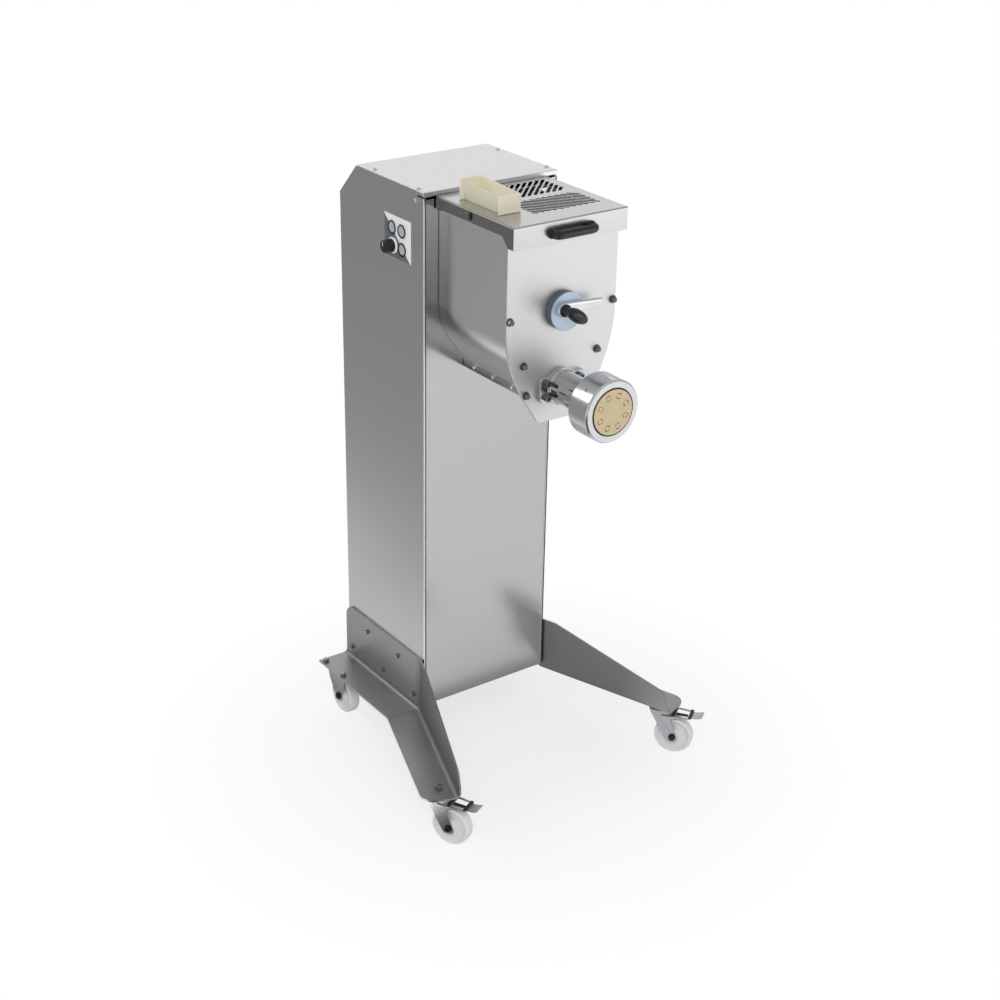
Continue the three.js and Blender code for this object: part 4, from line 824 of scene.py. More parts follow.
def build_column():
    """Panels, covers and base of the column with rounded edges, the cut edge of the left sheet
    in steel brightened to white as a painted highlight, the gaps beside the front panel and the
    fillers of the notches under the cover's lip."""
    softened("left_side_panel", "machine", "brushed_steel_z")
    softened("right_side_panel", "machine", "brushed_steel_z")
    softened("front_panel", "machine", "front_skin")
    top = box("top_cover")[1][2]
    edge, gaps, fillers = Shell(), Shell(), Shell()
    cut = rounded(rectangle(-147.1, -1.3, -150.1, 2.4), 1.3, steps=6)
    plate(edge, [cut], 1, 1060, 0.1, flat, 1)
    # The cut edge's steel is brightened to white, a painted highlight.
    make("left_cut_edge", edge, "machine", "cut_steel")
    for side, inner, outer in ((-1, 144.9, 147.1), (1, 146.6, 148.9)):
        plate(gaps, [rectangle(side * inner, -0.25, side * outer, 2.0)], 2, 1059, 0.1, flat, 1)
        tab = rounded(rectangle(0.8, top - 8.2, 20, top - 1.4), 0.4)
        plate(fillers, [tab], side * 149.2 - 0.7, side * 149.2 + 0.7, 0.2, sideways, 1)
    make("joint_gaps", gaps, "machine", "dark_metal")
    make("notch_fillers", fillers, "machine", "brushed_steel_z")
    softened("rear_cover", "machine", "brushed_steel_z")
    softened("top_cover", "machine", "cover_steel", 0.0012)
    softened("base_plate", "machine", "satin_steel")
    softened("cable_gland", "machine", "matt_black")
    dressed("cast_metal", "switch_box", "gear_reducer", "drive_motor")
    dressed("gear_steel", "bearing_plate", "auger_gear", "mixer_gear")
    dressed("bush_bronze", "mixer_bush", "auger_bush")


# Controls


def build_controls():
    """White control plate, with the bezels and caps of its push buttons."""
    # The control plate's film carries the painted reflection of its dark diagonal.
    softened("control_plate", "machine", "label_film", 0.0004)
    face = box("control_plate")[0][0]
    nodes = ("start_button", "stop_button", "reverse_button")
    places = [(face, *middle(node)[1:]) for node in nodes]
    bezel = [(10.6, -0.2), (13.2, -0.2), (13.2, 0.9), (12.2, 1.9), (11.0, 1.9), (10.6, 1.2)]
    dish = [(0, 0.1), (7.0, 0.3), (9.3, 0.9), (9.9, 0.6), (9.9, -5.0), (4.9, -5.0), (4.9, -24.0)]
    dish = rounded([*dish, (0, -24.0)], 0.5, closed=False)
    rings = Shell()
    for place in places:
        turned(rings, rounded(bezel, 0.4), place, LEFTWARD, 64, closed=True)
    make("button_rings", rings, "machine", "dark_metal")
    for node, place in zip(nodes, places):
        cap = Shell()
        turned(cap, dish, place, LEFTWARD, 64)
        remade(node, cap, f"{node}_body", "button_grey")


def build_selector():
    """Selector: a white collar, a raised pointer and a black grip whose radius is
    r + depth |sin n a| over its flutes."""
    _, y, z = middle("selector_knob")
    foot = box("selector_knob")[0][0] + 23.0
    place = (foot, y, z)
    collar, grip, line = Shell(), Shell(), Shell()
    ring = rounded([(0, 0), (15.6, 0), (15.6, 2.0), (14.2, 3.2), (0, 3.2)], 0.5, closed=False)
    turned(collar, ring, place, LEFTWARD, 64)
    make("selector_collar", collar, "selector_body", "white_ring")
    turn = np.linspace(0, 2 * np.pi, 192, endpoint=False)
    height = np.array([2.8, 3.6, 5.0, 16.0, 19.0, 21.4, 22.6, 23.0, 23.0])[:, None]
    swell = np.array([11.4, 12.2, 12.6, 12.0, 11.8, 11.2, 10.0, 7.0, 0.001])[:, None]
    fluted = swell > 10.5
    radius = swell + 0.7 * np.abs(np.sin(turn * 9)) * fluted - 0.35 * fluted
    rows = flat(foot - height, y + radius * np.cos(turn), z + radius * np.sin(turn))
    grip.grid(rows, wrap_columns=True)
    grip.cap([rows[0]])
    pin(grip, place, LEFTWARD, 3.9, -20.0, 3.0, 32)
    make("selector_grip", grip, "selector_body", "black_plastic", ("selector_knob",))
    pointer = rounded(rectangle(y - 0.8, z + 1.5, y + 0.8, z + 9.0), 0.5)
    plate(line, [pointer], foot - 23.1, foot - 22.6, 0.12, sideways, 2)
    make("selector_line", line, "selector_body", "white_ring")


# Hopper


def tub_profile(inset, steps=28):
    """Half of the tub's outline from the rim down: a straight wall, an arc of radius r about
    the bend's centre through 34 degrees, and a slope at 56 degrees to the foot."""
    radius = 117.0 - inset
    foot = 60.0 - inset
    arc = [0, 857] + radius * heading(-np.linspace(0, math.radians(34), steps))
    foot_rise = arc[-1, 1] - (arc[-1, 0] - foot) * math.tan(math.radians(56))
    return np.concatenate([[[radius, RIM_RISE]], arc, [[foot, foot_rise]]])


def front_outline(top, steps=20):
    """The front plate's outline: straight sides, two bent curves in to the hips, straight runs
    to a rounded foot."""
    bend, pull, hip = np.array([[122, 866], [118.5, 797], [81, 733]])
    curve = bent(bend, pull, hip, np.linspace(0, 1, steps)[:, None])
    foot = rounded([hip, (46, 679), (0, 679)], 9, closed=False, steps=8)[9:-9]
    return mirrored(np.concatenate([[[122, top]], curve, foot]))


def build_tub():
    """Tub with bent walls that are lower at the rear, a back wall, a flange with a window and
    hinge ears."""
    tub = Shell()
    outer, inner = tub_profile(0.0), tub_profile(2.0)
    strip = outer[-1, 1] - 14
    outer = np.concatenate([outer, [[60, strip]]])
    inner = np.concatenate([inner, [[58, strip]]])
    wall = np.concatenate([outer, inner[::-1]])
    y = np.array([TUB_FRONT, TUB_FRONT + 0.3, -13.2, -12.8, 0.1])
    for side in (1, -1):
        rows = upright(side * wall[:, 0], wall[:, 1], y[:, None])
        low_rim = (rows[..., 2] > 1040) & (rows[..., 1] > -13)
        rows[low_rim, 2] = REAR_RIM_RISE
        tub.bar(rows)
    back = mirrored(outer)
    back[:, 1] = np.minimum(back[:, 1], REAR_RIM_RISE)
    holes = [circle((0, rise), SHAFT_HOLE, 48) for rise in (SHAFT_RISE, AUGER_RISE)]
    plate(tub, [back, *holes], -2.3, -0.3, 0.2, upright, 1)
    window = mirrored([(105, 1040), (105, 862), (70, 800), (36, 752), (28, 717)])
    plate(tub, [front_outline(RIM_RISE), rounded(window, 8)], TUB_FRONT, -214.0, 0.5, upright, 2)
    eye = (-16, 1052)
    ear = np.concatenate([[(-23.5, 1044), (-8.5, 1044)], circle(eye, 7.5, 40)[:21]])
    for x in (-116, 116):
        plate(tub, [ear, circle(eye, 4.3, 32)], x - 1, x + 1, 0.2, sideways, 1)
    remade("hopper_tub", tub, "machine", "tub_steel")
    softened("auger_trough", "machine", "satin_steel")
    dressed("polished_steel", "mixing_shaft", "auger")


def build_front_plate():
    """Front plate with rounded edges and the holes of the two shafts."""
    front = Shell()
    holes = [circle((0, SHAFT_RISE), SHAFT_HOLE, 48), circle((0, AUGER_RISE), BARREL_HOLE, 64)]
    plate(front, [front_outline(1060.7, 28), *holes], PLATE_FRONT, -217.3, 0.7, upright)
    node = "hopper_front_plate"
    make("front_plate_fine", front, "machine", "front_steel", (node,))


def grille_loops():
    """Slanting slots clipped to a rectangle, in two mirrored fields of the lid."""
    half, pitch, offset, mirror = 3.3, 13.9, 94.4, 103.5
    left, right, far, near = -45 + half, 104 - half, -95 + half, -17 - half
    first = math.ceil((left - near - offset) / pitch)
    last = math.floor((right - far - offset) / pitch)
    turn = np.linspace(0, np.pi, 9) - np.pi / 2
    loops = []
    for index in range(first, last + 1):
        shift = offset + index * pitch
        start, stop = max(left, far + shift), min(right, near + shift)
        if stop - start < half:
            continue
        ends = np.array([[start, start - shift], [stop, stop - shift]])
        for a, b in (ends, ends * [1, -1] - [0, 2 * mirror]):
            arc = half * heading(math.atan2(*(b - a)[::-1]) + turn)
            loops.append(np.concatenate([b + arc, a - arc]))
    return loops


def folded(drop):
    """Section of the lid's folded edge: out along the top, round the bend and down by a drop."""
    arc = heading(np.linspace(0, np.pi / 2, 9))
    centre = np.array([0, LID_TOP - LID_BEND])
    inner = LID_BEND - LID_WALL
    outside = [[[0, LID_TOP]], centre + LID_BEND * arc[::-1], [[LID_BEND, LID_TOP - drop]]]
    inside = [[[inner, LID_TOP - drop]], centre + inner * arc, [[0, LID_TOP - LID_WALL]]]
    return np.concatenate(outside + inside)


def build_lid():
    """Lid: grille, a front flange and two skirts under bends of constant radius."""
    lid, skirts = Shell(), Shell()
    sheet = rectangle(-122, -237, 122, -3)
    plate(lid, [sheet, *grille_loops()], LID_TOP - LID_WALL, LID_TOP, 0.25, flat, 2)
    out, rise = folded(42.0).T
    lid.bar(flat(np.array([[-124.9], [124.9]]), -237 - out, rise))
    y = np.array([-237.9, -224, -222, -208, -206, -3])
    sections = np.stack([folded(drop) for drop in (40, 40, 38.5, 23.5, 22, 22)])
    for side in (-1, 1):
        skirts.bar(flat(side * (122 + sections[..., 0]), y[:, None], sections[..., 1]))
    # The skirts are the lid's sheet in a darker copy of its steel: painted shade.
    make("lid_skirts", skirts, "lid_body", "skirt_steel", (), 30)
    remade("lid", lid, "lid_body", "lid_steel", 30)
    for node in ("left_hinge_arm", "right_hinge_arm"):
        softened(node, "lid_body", "satin_steel")
    softened("lid_magnet", "lid_body", "matt_black", 0.0005)
    softened("lid_sensor", "machine", "matt_black")
    dressed("polished_steel", "hinge_rod")


def build_lid_handle():
    """Bow handle: an oval carried along a bent path between two turned feet."""
    handle = Shell()
    half, root, bar, z = 43, -240.3, -257.3, 1041.0
    path = [(-half, root), (-half, bar), (half, bar), (half, root)]
    path = rounded(path, 14, closed=False, steps=14)
    path = np.concatenate([np.linspace(path[0], path[15], 5)[:-1], path[15:]])
    points = np.column_stack([path, np.full(len(path), z)])
    swept(handle, points, circle((0, 0), 1.0, 32) * [8.0, 6.4])
    boss = rounded([(0, 0), (9.6, 0), (9.6, 2.2), (7.6, 4.4), (0, 4.4)], 0.8, closed=False)
    for x in (-half, half):
        turned(handle, boss, (x, root, z), FORWARD, 48)
    remade("lid_handle", handle, "lid_body", "black_plastic")


def build_tray():
    """Liquid tray: a trough with sloping sides between two full end plates, higher at the rear.
    Its rim rises evenly along y, by 33 at the front and 38 at the rear."""
    middle_x, foot, wall = -80.5, 1063.4, 2.2
    y = np.linspace(-165.5, -48.5, 8)[:, None]
    rim = foot + 33 + 5 * (y + 165.5) / 117
    across = np.array([-23, -15, 15, 23, 23 - wall, 15 - wall, wall - 15, wall - 23])
    at_rim = np.array([1, 0, 0, 1, 1, 0, 0, 1])
    floor = np.array([0, 0, 0, 0, 0, wall, wall, 0])
    tray = Shell()
    tray.grid(flat(middle_x + across, y, np.where(at_rim > 0, rim, foot + floor)), wrap_columns=True)
    for back, height in ((-167, 33.4), (-50, 38.4)):
        outline = [(-24, 0), (24, 0), (23.6, height), (-23.6, height)]
        outline = rounded(np.add(outline, (middle_x, foot)), 2.2)
        plate(tray, [outline], back, back + 3, 0.9, upright)
    remade("liquid_tray", tray, "tray_body", "cream_plastic")


# Extruder


def flange_outline():
    """The barrel flange in (x, z): two flat ends at the ears, an arc of radius 36 between."""
    arc = 36 * heading(np.linspace(math.radians(42), math.radians(138), 24))
    right = [(50, -18), (50, 18), (46, 24)]
    left = [(-46, 24), (-50, 18), (-50, -18), (-46, -24)]
    return np.concatenate([right, arc, left, -arc, [(46, -24)]]) + [0, AUGER_RISE]


def build_extruder():
    """Barrel with its bolted flange, the ring nut and dark discs in its pin holes, which are painted
    shade.
    """
    barrel, heads, ring, pins = Shell(), Shell(), Shell(), Shell()
    face = -230.6
    bore = circle((0, AUGER_RISE), 25.3, 64)
    plate(barrel, [flange_outline(), bore], face, -220.6, 1.0, upright)
    neck = [(25.2, 221), (31, 221), (31, 229), (34.5, 230.8), (31, 234), (31, 300), (31, 318)]
    head = [(36, 323), (52, 323), (52, 355), (41, 355), (41, 338), (25.2, 338)]
    turned(barrel, rounded(neck + head, 1.2), AUGER, FORWARD, 128, closed=True)
    remade("extruder_barrel", barrel, "machine", "barrel_steel")
    socket = [(0, 3.6), (3.6, 3.6), (3.6, 8), (6.5, 8), (6.5, 0), (0, 0)]
    for x in (-37, 37):
        for z in (-14, 14):
            place = (x, face, AUGER_RISE + z)
            turned(heads, rounded(socket, 0.5, closed=False), place, FORWARD, 32)
    make("flange_screws", heads, "machine", "nut_steel")
    outside = [(52.3, 321.5), (57.4, 321.5), (59, 323), (59, 370.6), (55.6, 374), (44.0, 374)]
    inside = [(43.3, 373.2), (43.3, 367), (52.3, 367)]
    turned(ring, rounded(outside + inside, 0.5), AUGER, FORWARD, 160, closed=True)
    remade("ring_nut", ring, "ring_nut_body", "nut_polish")
    # Shallow dark cups on the ring nut stand in for its pin holes: painted shade of their insides.
    cup = [(0, 0.1), (2.4, 0.1), (2.4, 0.55), (2.9, 0.55), (2.9, 0), (0, 0)]
    for index in range(4):
        angle = (index + 0.5) * math.pi / 2
        direction = np.array([math.sin(angle), 0, math.cos(angle)])
        turned(pins, cup, np.array([0, -350, AUGER_RISE]) + 58.6 * direction, direction, 24)
    make("pin_hole_rims", pins, "ring_nut_body", "dark_metal")


def slot_loops():
    """Die slots: eight round inserts, each a pair of facing arcs between radii 4.5 and 5.9."""
    loops = []
    for index in range(8):
        around = (index + 0.5) * np.pi / 4
        for half in (0, np.pi):
            ring = heading(around + half + np.linspace(-1.25, 1.25, 15))
            band = np.concatenate([5.9 * ring, (4.5 * ring)[::-1]])
            loops.append(band + 30.5 * heading(around) + [0, AUGER_RISE])
    return loops


def build_die():
    """Bronze die: a disc pierced by eight pairs of curved slots, a dark ring of painted shade round it,
    and a raised ring.
    """
    die, seat, ring = Shell(), Shell(), Shell()
    face = -375.6
    disc = circle((0, AUGER_RISE), 42.6, 128)
    plate(die, [disc, *slot_loops()], face, face + 4.8, 0.5, upright, 2)
    body = [(0, 370.9), (42.8, 370.9), (42.8, 362), (40, 345), (38, 345), (38, 352), (0, 352)]
    turned(die, body, AUGER, FORWARD)
    remade("pasta_die", die, "die_body", "die_bronze")
    # A thin dark ring just before the ring nut's face, round the die: painted shade of the groove
    # between them.
    lip = rounded(rectangle(42.4, 373.2, 45.6, 374.25), 0.2)
    turned(seat, lip, AUGER, FORWARD, 128, closed=True)
    make("die_seat", seat, "ring_nut_body", "dark_metal")
    turned(ring, rectangle(20.6, 375.4, 21.6, 375.8), AUGER, FORWARD, closed=True)
    make("die_ring", ring, "die_body", "die_bronze")


# Shaft cap and lock


def build_cap():
    """Shaft cap: a turned disc with rounded rims."""
    cap = Shell()
    profile = [(0, 237.1), (36, 237.1), (36, 220.6), (8.3, 220.6), (8.3, 234.5), (0, 234.5)]
    turned(cap, rounded(profile, 1.3, closed=False), SHAFT, FORWARD, 128)
    # The cap's dark rim is painted shade.
    remade("shaft_cap", cap, "machine", "cap_metal")


def build_lock():
    """Lock lever: a tapered bar with a round hub and soft edges. Its knob is an oval ball, tilted
    to one side, on a waisted neck."""
    x, z = -13.0, 897.0
    tip = x + 87
    gap, cap_depth, lever_depth = 0.3, 16.5, 9
    front = PLATE_FRONT - gap - cap_depth - gap - lever_depth
    lever, knob = Shell(), Shell()
    hub = circle((x, z), 14, 48, np.pi / 2)[:25]
    end = [(tip - 12, z - 8.4), (tip, z - 7.6), (tip, z + 7.6), (tip - 12, z + 8.4)]
    outline = np.concatenate([hub, rounded(end, 4, steps=5)[6:-6]])
    hole = circle((x, z), 4.3, 24)
    plate(lever, [outline, hole], front, front + lever_depth, 3.4, upright, 5)
    remade("lock_lever", lever, "lock_lever_body", "lever_steel")
    start = gap - front
    neck = [(0, -4.6), (3.9, -4.6), (3.9, 0), (12.0, 0), (12.0, 2.4), (7.0, 6), (6.2, 14)]
    neck = rounded([*neck, (7.6, 24), (7.0, 32), (0, 33)], 1.2, closed=False)
    turned(knob, neck, (x, -start, z), FORWARD, 64)
    u = np.linspace(0, np.pi, 33)[:, None]
    v = np.linspace(0, 2 * np.pi, 64, endpoint=False)
    half_length, half_height, half_depth, tilt = 26.5, 12.2, 9.8, math.radians(33)
    along = half_length * np.cos(u)
    tall = half_height * np.sin(u) * np.sin(v)
    deep = half_depth * np.sin(u) * np.cos(v) - (start + 34)
    cosine, sine = heading(tilt)
    rows = flat(x + along * cosine + tall * sine, deep, z - along * sine + tall * cosine)
    knob.grid(rows, wrap_columns=True)
    remade("lock_knob", knob, "lock_knob_body", "black_plastic")


# Legs


def leg_rows():
    """Path, outward direction, top edge and flange width of the left leg at lengths s along it,
    from its rear end below zero round the corner at the column to its arm's tip. The rear corner
    is a quarter circle, the arm's top edge slopes, and its tip is a quarter ellipse."""
    rear_turn = 1 - np.cos(np.linspace(0, np.pi / 2, 13))
    tip_turn = 1 - np.sin(np.linspace(0, np.pi / 2, 17))
    s = [
        -LEG_REAR + LEG_ROUND * rear_turn,
        np.linspace(-LEG_REAR + 40, -20, 6),
        [-1.0, 1.0],
        np.linspace(12, 286, 24),
        LEG_ARM - LEG_ROUND * tip_turn,
    ]
    s = np.unique(np.round(np.concatenate(s), 3))
    column = s[:, None]
    outward_rear = np.array([-1.0, 0.0])
    outward_arm = np.array([-math.cos(LEG_SPLAY), math.sin(LEG_SPLAY)])
    mitre = (outward_rear + outward_arm) / (1 + outward_rear @ outward_arm)
    along = np.array([-math.sin(LEG_SPLAY), -math.cos(LEG_SPLAY)])
    at_corner = np.abs(column) <= 1
    path = LEG_CORNER + np.where(column < 0, -column * [0.0, 1.0], column * along)
    path = np.where(at_corner, LEG_CORNER, path)
    outward = np.where(at_corner, mitre, np.where(column < 0, outward_rear, outward_arm))
    rear_gap = np.clip(LEG_ROUND - (s + LEG_REAR), 0, LEG_ROUND)
    top = LEG_HEIGHT - LEG_ROUND + np.sqrt(LEG_ROUND**2 - rear_gap**2)
    slope_start, slope_end, tip_start = 34, 292, 294
    fall = (LEG_HEIGHT - LEG_TIP_HEIGHT) / (slope_end - slope_start)
    slope = LEG_HEIGHT - fall * np.maximum(s - slope_start, 0)
    t = np.clip((s - tip_start) / (LEG_ARM - tip_start), 0, 1)
    top = np.where(s > slope_start, -10 + (slope + 10) * np.sqrt(1 - t**2), top)
    tip_gap = np.clip(LEG_ROUND - (LEG_ARM - s), 0, LEG_ROUND)
    width = LEG_WIDTH - LEG_ROUND + np.sqrt(LEG_ROUND**2 - tip_gap**2)
    return path, outward, top, width


def build_legs():
    """Legs: a web and a flange joined by a bend of constant radius, with a solid thickness."""
    bend = sizes().leg_bend / MM
    path, outward, top, width = leg_rows()
    count = len(top)
    angle = np.linspace(0, np.pi / 2, 9)
    bend_out = np.tile(bend * (1 - np.cos(angle)), (count, 1))
    bend_up = np.minimum(LEG_UNDER + bend * (1 - np.sin(angle)), top[:, None])
    out = np.column_stack([np.zeros((count, 2)), bend_out, (width + bend) / 2, width])
    web_up = (top + LEG_UNDER + bend) / 2
    up = np.column_stack([top, web_up, bend_up, np.full((count, 2), LEG_UNDER)])
    level = path[:, None] + out[..., None] * outward[:, None]
    for side, node in ((1, "left_leg"), (-1, "right_leg")):
        skin = Shell()
        skin.grid(np.concatenate([level * [side, 1], up[..., None]], -1))
        name = f"{node}_fine"
        mesh = meshed(name, skin)
        leg = placed(name, mesh, "machine", "leg_steel", (node,), 30)
        inward = sum(face.normal.x * side for face in mesh.polygons if abs(face.normal.x) > 0.7)
        if inward > 0:
            mesh.flip_normals()
        solid = leg.modifiers.new("thickness", "SOLIDIFY")
        solid.thickness = LEG_SHEET * MM
        solid.offset = -1
        bevelled(leg, 0.0008, 50)
        levelled(leg)


def build_leg_details():
    """The joint between the two flanges at each leg's corner, and the bolts of the legs."""
    seams, bolts = Shell(), Shell()
    lean = LEG_SPLAY / 2
    along = np.array([-math.cos(lean), math.sin(lean)]) / math.cos(lean)
    across = np.array([math.sin(lean), math.cos(lean)]) * 0.35
    start, end = (LEG_CORNER + reach * along for reach in (12, 69.6))
    seam = np.array([start - across, end - across, end + across, start + across])
    for side in (1, -1):
        plate(seams, [seam * [side, 1]], LEG_UNDER - 0.2, LEG_UNDER + 0.1, 0.05, flat, 1)
    make("leg_seams", seams, "machine", "dark_metal")
    for side in (-1, 1):
        for y, z in ((210, 74), (92, 73), (150, 12), (34, 11), (271, 9)):
            nut(bolts, (-side * LEG_CORNER[0], y, z), (side, 0, 0), (5.6, 1.0), 8.0, 4.2, 0.3)
        for y in (213, 283):
            nut(bolts, (side * 214, y, LEG_UNDER), UPWARD, (7.5, 1.2), 10, 6)
    make("leg_bolts", bolts, "machine", "bolt_steel")


# Castors, in the castor's own millimetres: x along the trail, y along the axle, z up from the floor


def wheel_shell(trail):
    """Wheel: a rounded tread, a dished web with a raised ring, and a hub."""
    wheel = Shell()
    hub = [(5.3, 14.7), (10.5, 14.7), (12, 13.6), (13, 8.2), (16, 7.0)]
    web = [(29, 7.0), (31.5, 8.2), (33, 11.0), (36.5, 12.0), (39.2, 9.6), (AXLE_RISE, 5.0)]
    profile = rounded(mirrored(hub + web, (1, -1)), 1.6)
    turned(wheel, profile, (trail, 0, AXLE_RISE), (0, 1, 0), closed=True)
    return wheel


def axle_shell(trail):
    """Axle bolt: a shank, and a washer, a hexagon and a short end at either side."""
    axle = Shell()
    pin(axle, (trail, 0, AXLE_RISE), (0, 1, 0), 4.9, -18, 18, 32)
    for side in (-1, 1):
        nut(axle, (trail, side * 17.6, AXLE_RISE), (0, side, 0), (7.6, 1.0), 12.4, 4.2, 0.2)
        pin(axle, (trail, side * 21.9, AXLE_RISE), (0, side, 0), 3.4, 0, 1.4, 24, 0.5)
    return axle


def fork_shell(outline, top, plate_outline, holes):
    """Fork: two pressed cheeks with rounded edges under a top plate."""
    fork = Shell()
    outline = rounded(outline, 5.0, steps=6)
    for low, high in ((-17.5, -15.0), (15.0, 17.5)):
        plate(fork, [outline], low, high, 0.7, upright, 2)
    plate(fork, [plate_outline, *holes], top - 3, top, 0.7, flat, 2)
    return fork


def head_shell():
    """Swivel head: two turned rings round a pin, with a nut and a thread end above the leg."""
    head = Shell()
    low = [(0, 93), (9, 93), (9, 96.7), (4.9, 96.7), (4.9, 100.3), (24, 100.3), (24, 102.2)]
    high = [(22.5, 103.8), (19, 104.2), (19, 106.7), (4.9, 106.7), (4.9, 111), (0, 111)]
    turned(head, rounded(low + high, 0.5, closed=False), (0, 0, 0), UPWARD, 64)
    nut(head, (0, 0, 111.3), UPWARD, (8.4, 1.2), 13, 6.8, 0.4)
    pin(head, (0, 0, 118.9), UPWARD, 4.2, 0, 4.4, 32, 0.8)
    return head


def pedal_shell():
    """Brake pedal: a frame with a window, ears on its pins and a curved tongue, whose upper
    side lies at 91.6 + 4.2 t^2."""
    pedal = Shell()
    edge = rounded([(29, -20.8), (69, -17), (69, 17), (29, 20.8)], 2.0)
    window = rounded([(36, -16.3), (62, -14), (62, 14), (36, 16.3)], 1.5)
    plate(pedal, [edge, window], 89, 92, 0.6, flat, 2)
    ear = rounded([(6.5, 82.5), (17.5, 82.5), (36, 86.5), (36, 90.5), (6.5, 90.5)], 2.0)
    for y in (-20.8, 17.8):
        plate(pedal, [ear], y, y + 3, 0.6, upright, 2)
    for y in (-17.8, 15.3):
        pin(pedal, (12, y, 88), (0, 1, 0), 1.9, -1.5, 4, 24)
    t = np.linspace(0, 1, 14)
    top = np.stack([67 + 24 * t, 91.6 + 4.2 * t**2], -1)
    section = np.concatenate([top, (top - [0, 1.6])[::-1]])
    y = np.array([-13.0, -11.5, 11.5, 13.0])[:, None]
    rows = upright(section[:, 0], section[:, 1], y)
    rows[[0, 3], :, 0] -= np.where(section[:, 0] > 89, 2.0, 0.0)
    pedal.bar(rows)
    return pedal


def pad_shell():
    """Dark bars of the brake pedal and the spring strip under them."""
    pad = Shell()
    for x in (28.5, 62.5):
        plate(pad, [rounded(rectangle(x, -17.5, x + 6.5, 17.5), 1.6)], 92, 94.2, 0.8, flat, 3)
    plate(pad, [rounded(rectangle(30, -4, 60, 4), 1.5)], 86.6, 89, 0.6, flat, 2)
    return pad


def build_rolling(name, spot, fork, trail, body, roller):
    """Fork, wheel and axle of a castor, turned and shifted to its spot."""
    wheel = wheel_shell(trail).moved(*spot)
    axle = axle_shell(trail).moved(*spot)
    remade(f"{name}_fork", fork.moved(*spot), body, "plated_zinc")
    remade(f"{name}_wheel", wheel, roller, "white_nylon", 50)
    remade(f"{name}_axle", axle, body, "dark_metal")


def build_front_castor(side):
    """Front castor: swivel head, fork with ribs, wheel, axle and brake pedal."""
    name = f"front_{side}_castor"
    pedal = f"front_{side}_pedal"
    head, wheel = (middle(f"{name}_{part}")[:2] for part in ("head", "wheel"))
    step = wheel - head
    trail = np.linalg.norm(step)
    spot = (math.atan2(step[1], step[0]), [*head, FLOOR])
    fork = fork_shell(
        [(-20, 99), (trail - 14, 33), (trail - 9, 27), (trail + 8, 27), (trail + 12, 36), (20, 99)],
        100,
        rounded(rectangle(-20, -17.5, 20, 17.5), 6, steps=6),
        [circle((0, 0), 5.4, 32)],
    )
    rib = rounded([(-9, 92), (-5, 92), (trail - 2, 50), (trail - 6, 50)], 1.6)
    for y in (-18.0, 17.2):
        plate(fork, [rib], y, y + 0.8, 0.35, upright, 2)
    build_rolling(name, spot, fork, trail, f"front_{side}_swivel", f"front_{side}_roller")
    remade(f"{name}_head", head_shell().moved(*spot), "machine", "bolt_steel")
    remade(f"{name}_brake", pedal_shell().moved(*spot), pedal, "plated_zinc")
    make(f"{name}_pad", pad_shell().moved(*spot), pedal, "matt_black")


def build_rear_castor(side):
    """Rear castor: a fixed fork under its bolted plate, with its wheel and axle."""
    name = f"rear_{side}_castor"
    spot = (math.pi / 2, [*middle(f"{name}_wheel")[:2], FLOOR])
    fork = fork_shell(
        [(-26, 105.5), (-12, 38), (-7, 28), (7, 28), (22, 46), (38, 72), (45, 96), (45, 105.5)],
        106.7,
        rounded(rectangle(-46, -33, 46, 33), 7, steps=6),
        [circle((x, y), 4.3, 20) for x in (-35, 35) for y in (-26, 26)],
    )
    build_rolling(name, spot, fork, 0, "machine", f"rear_{side}_roller")


def build_castors():
    """The four castors, left and then right."""
    for side in ("left", "right"):
        build_front_castor(side)
        build_rear_castor(side)


# Stage


def build_camera():
    """Camera at the photograph's place: 36.1 degrees left, 25.6 up, rolled by 1.1."""
    azimuth, rise, roll = (math.radians(angle) for angle in (-36.1, 25.6, 1.1))
    level = math.cos(rise)
    back = Vector((math.sin(azimuth) * level, -math.cos(azimuth) * level, math.sin(rise)))
    right = Vector((math.cos(azimuth), math.sin(azimuth), 0))
    up = back.cross(right)
    cosine, sine = math.cos(roll), math.sin(roll)
    right, up = right * cosine + up * sine, up * cosine - right * sine
    place = np.array([-1845.1, -2574.2, 1942.9]) * MM + ORIGIN
    sensor, focal_pixels, picture_pixels = 36.0, 1771.1, 1000
    data = bpy.data.cameras.new("photo_camera")
    data.sensor_width = sensor
    data.lens = sensor * focal_pixels / picture_pixels
    data.clip_end = 60
    camera = bpy.data.objects.new("photo_camera", data)
    turn = Matrix((right, up, back)).transposed().to_4x4()
    camera.matrix_world = Matrix.Translation(Vector(place)) @ turn
    scene = bpy.context.scene
    scene.collection.objects.link(camera)
    scene.camera = camera
    scene.view_settings.view_transform = "Standard"


def sheet(name, corners, material, hidden=()):
    """A four-cornered sheet of the stage, hidden from the kinds of rays that are named."""
    mesh = bpy.data.meshes.new(name)
    mesh.from_pydata(corners, [], [(0, 1, 2, 3)])
    mesh.materials.append(material)
    obj = bpy.data.objects.new(name, mesh)
    for kind in hidden:
        setattr(obj, f"visible_{kind}", False)
    bpy.context.scene.collection.objects.link(obj)


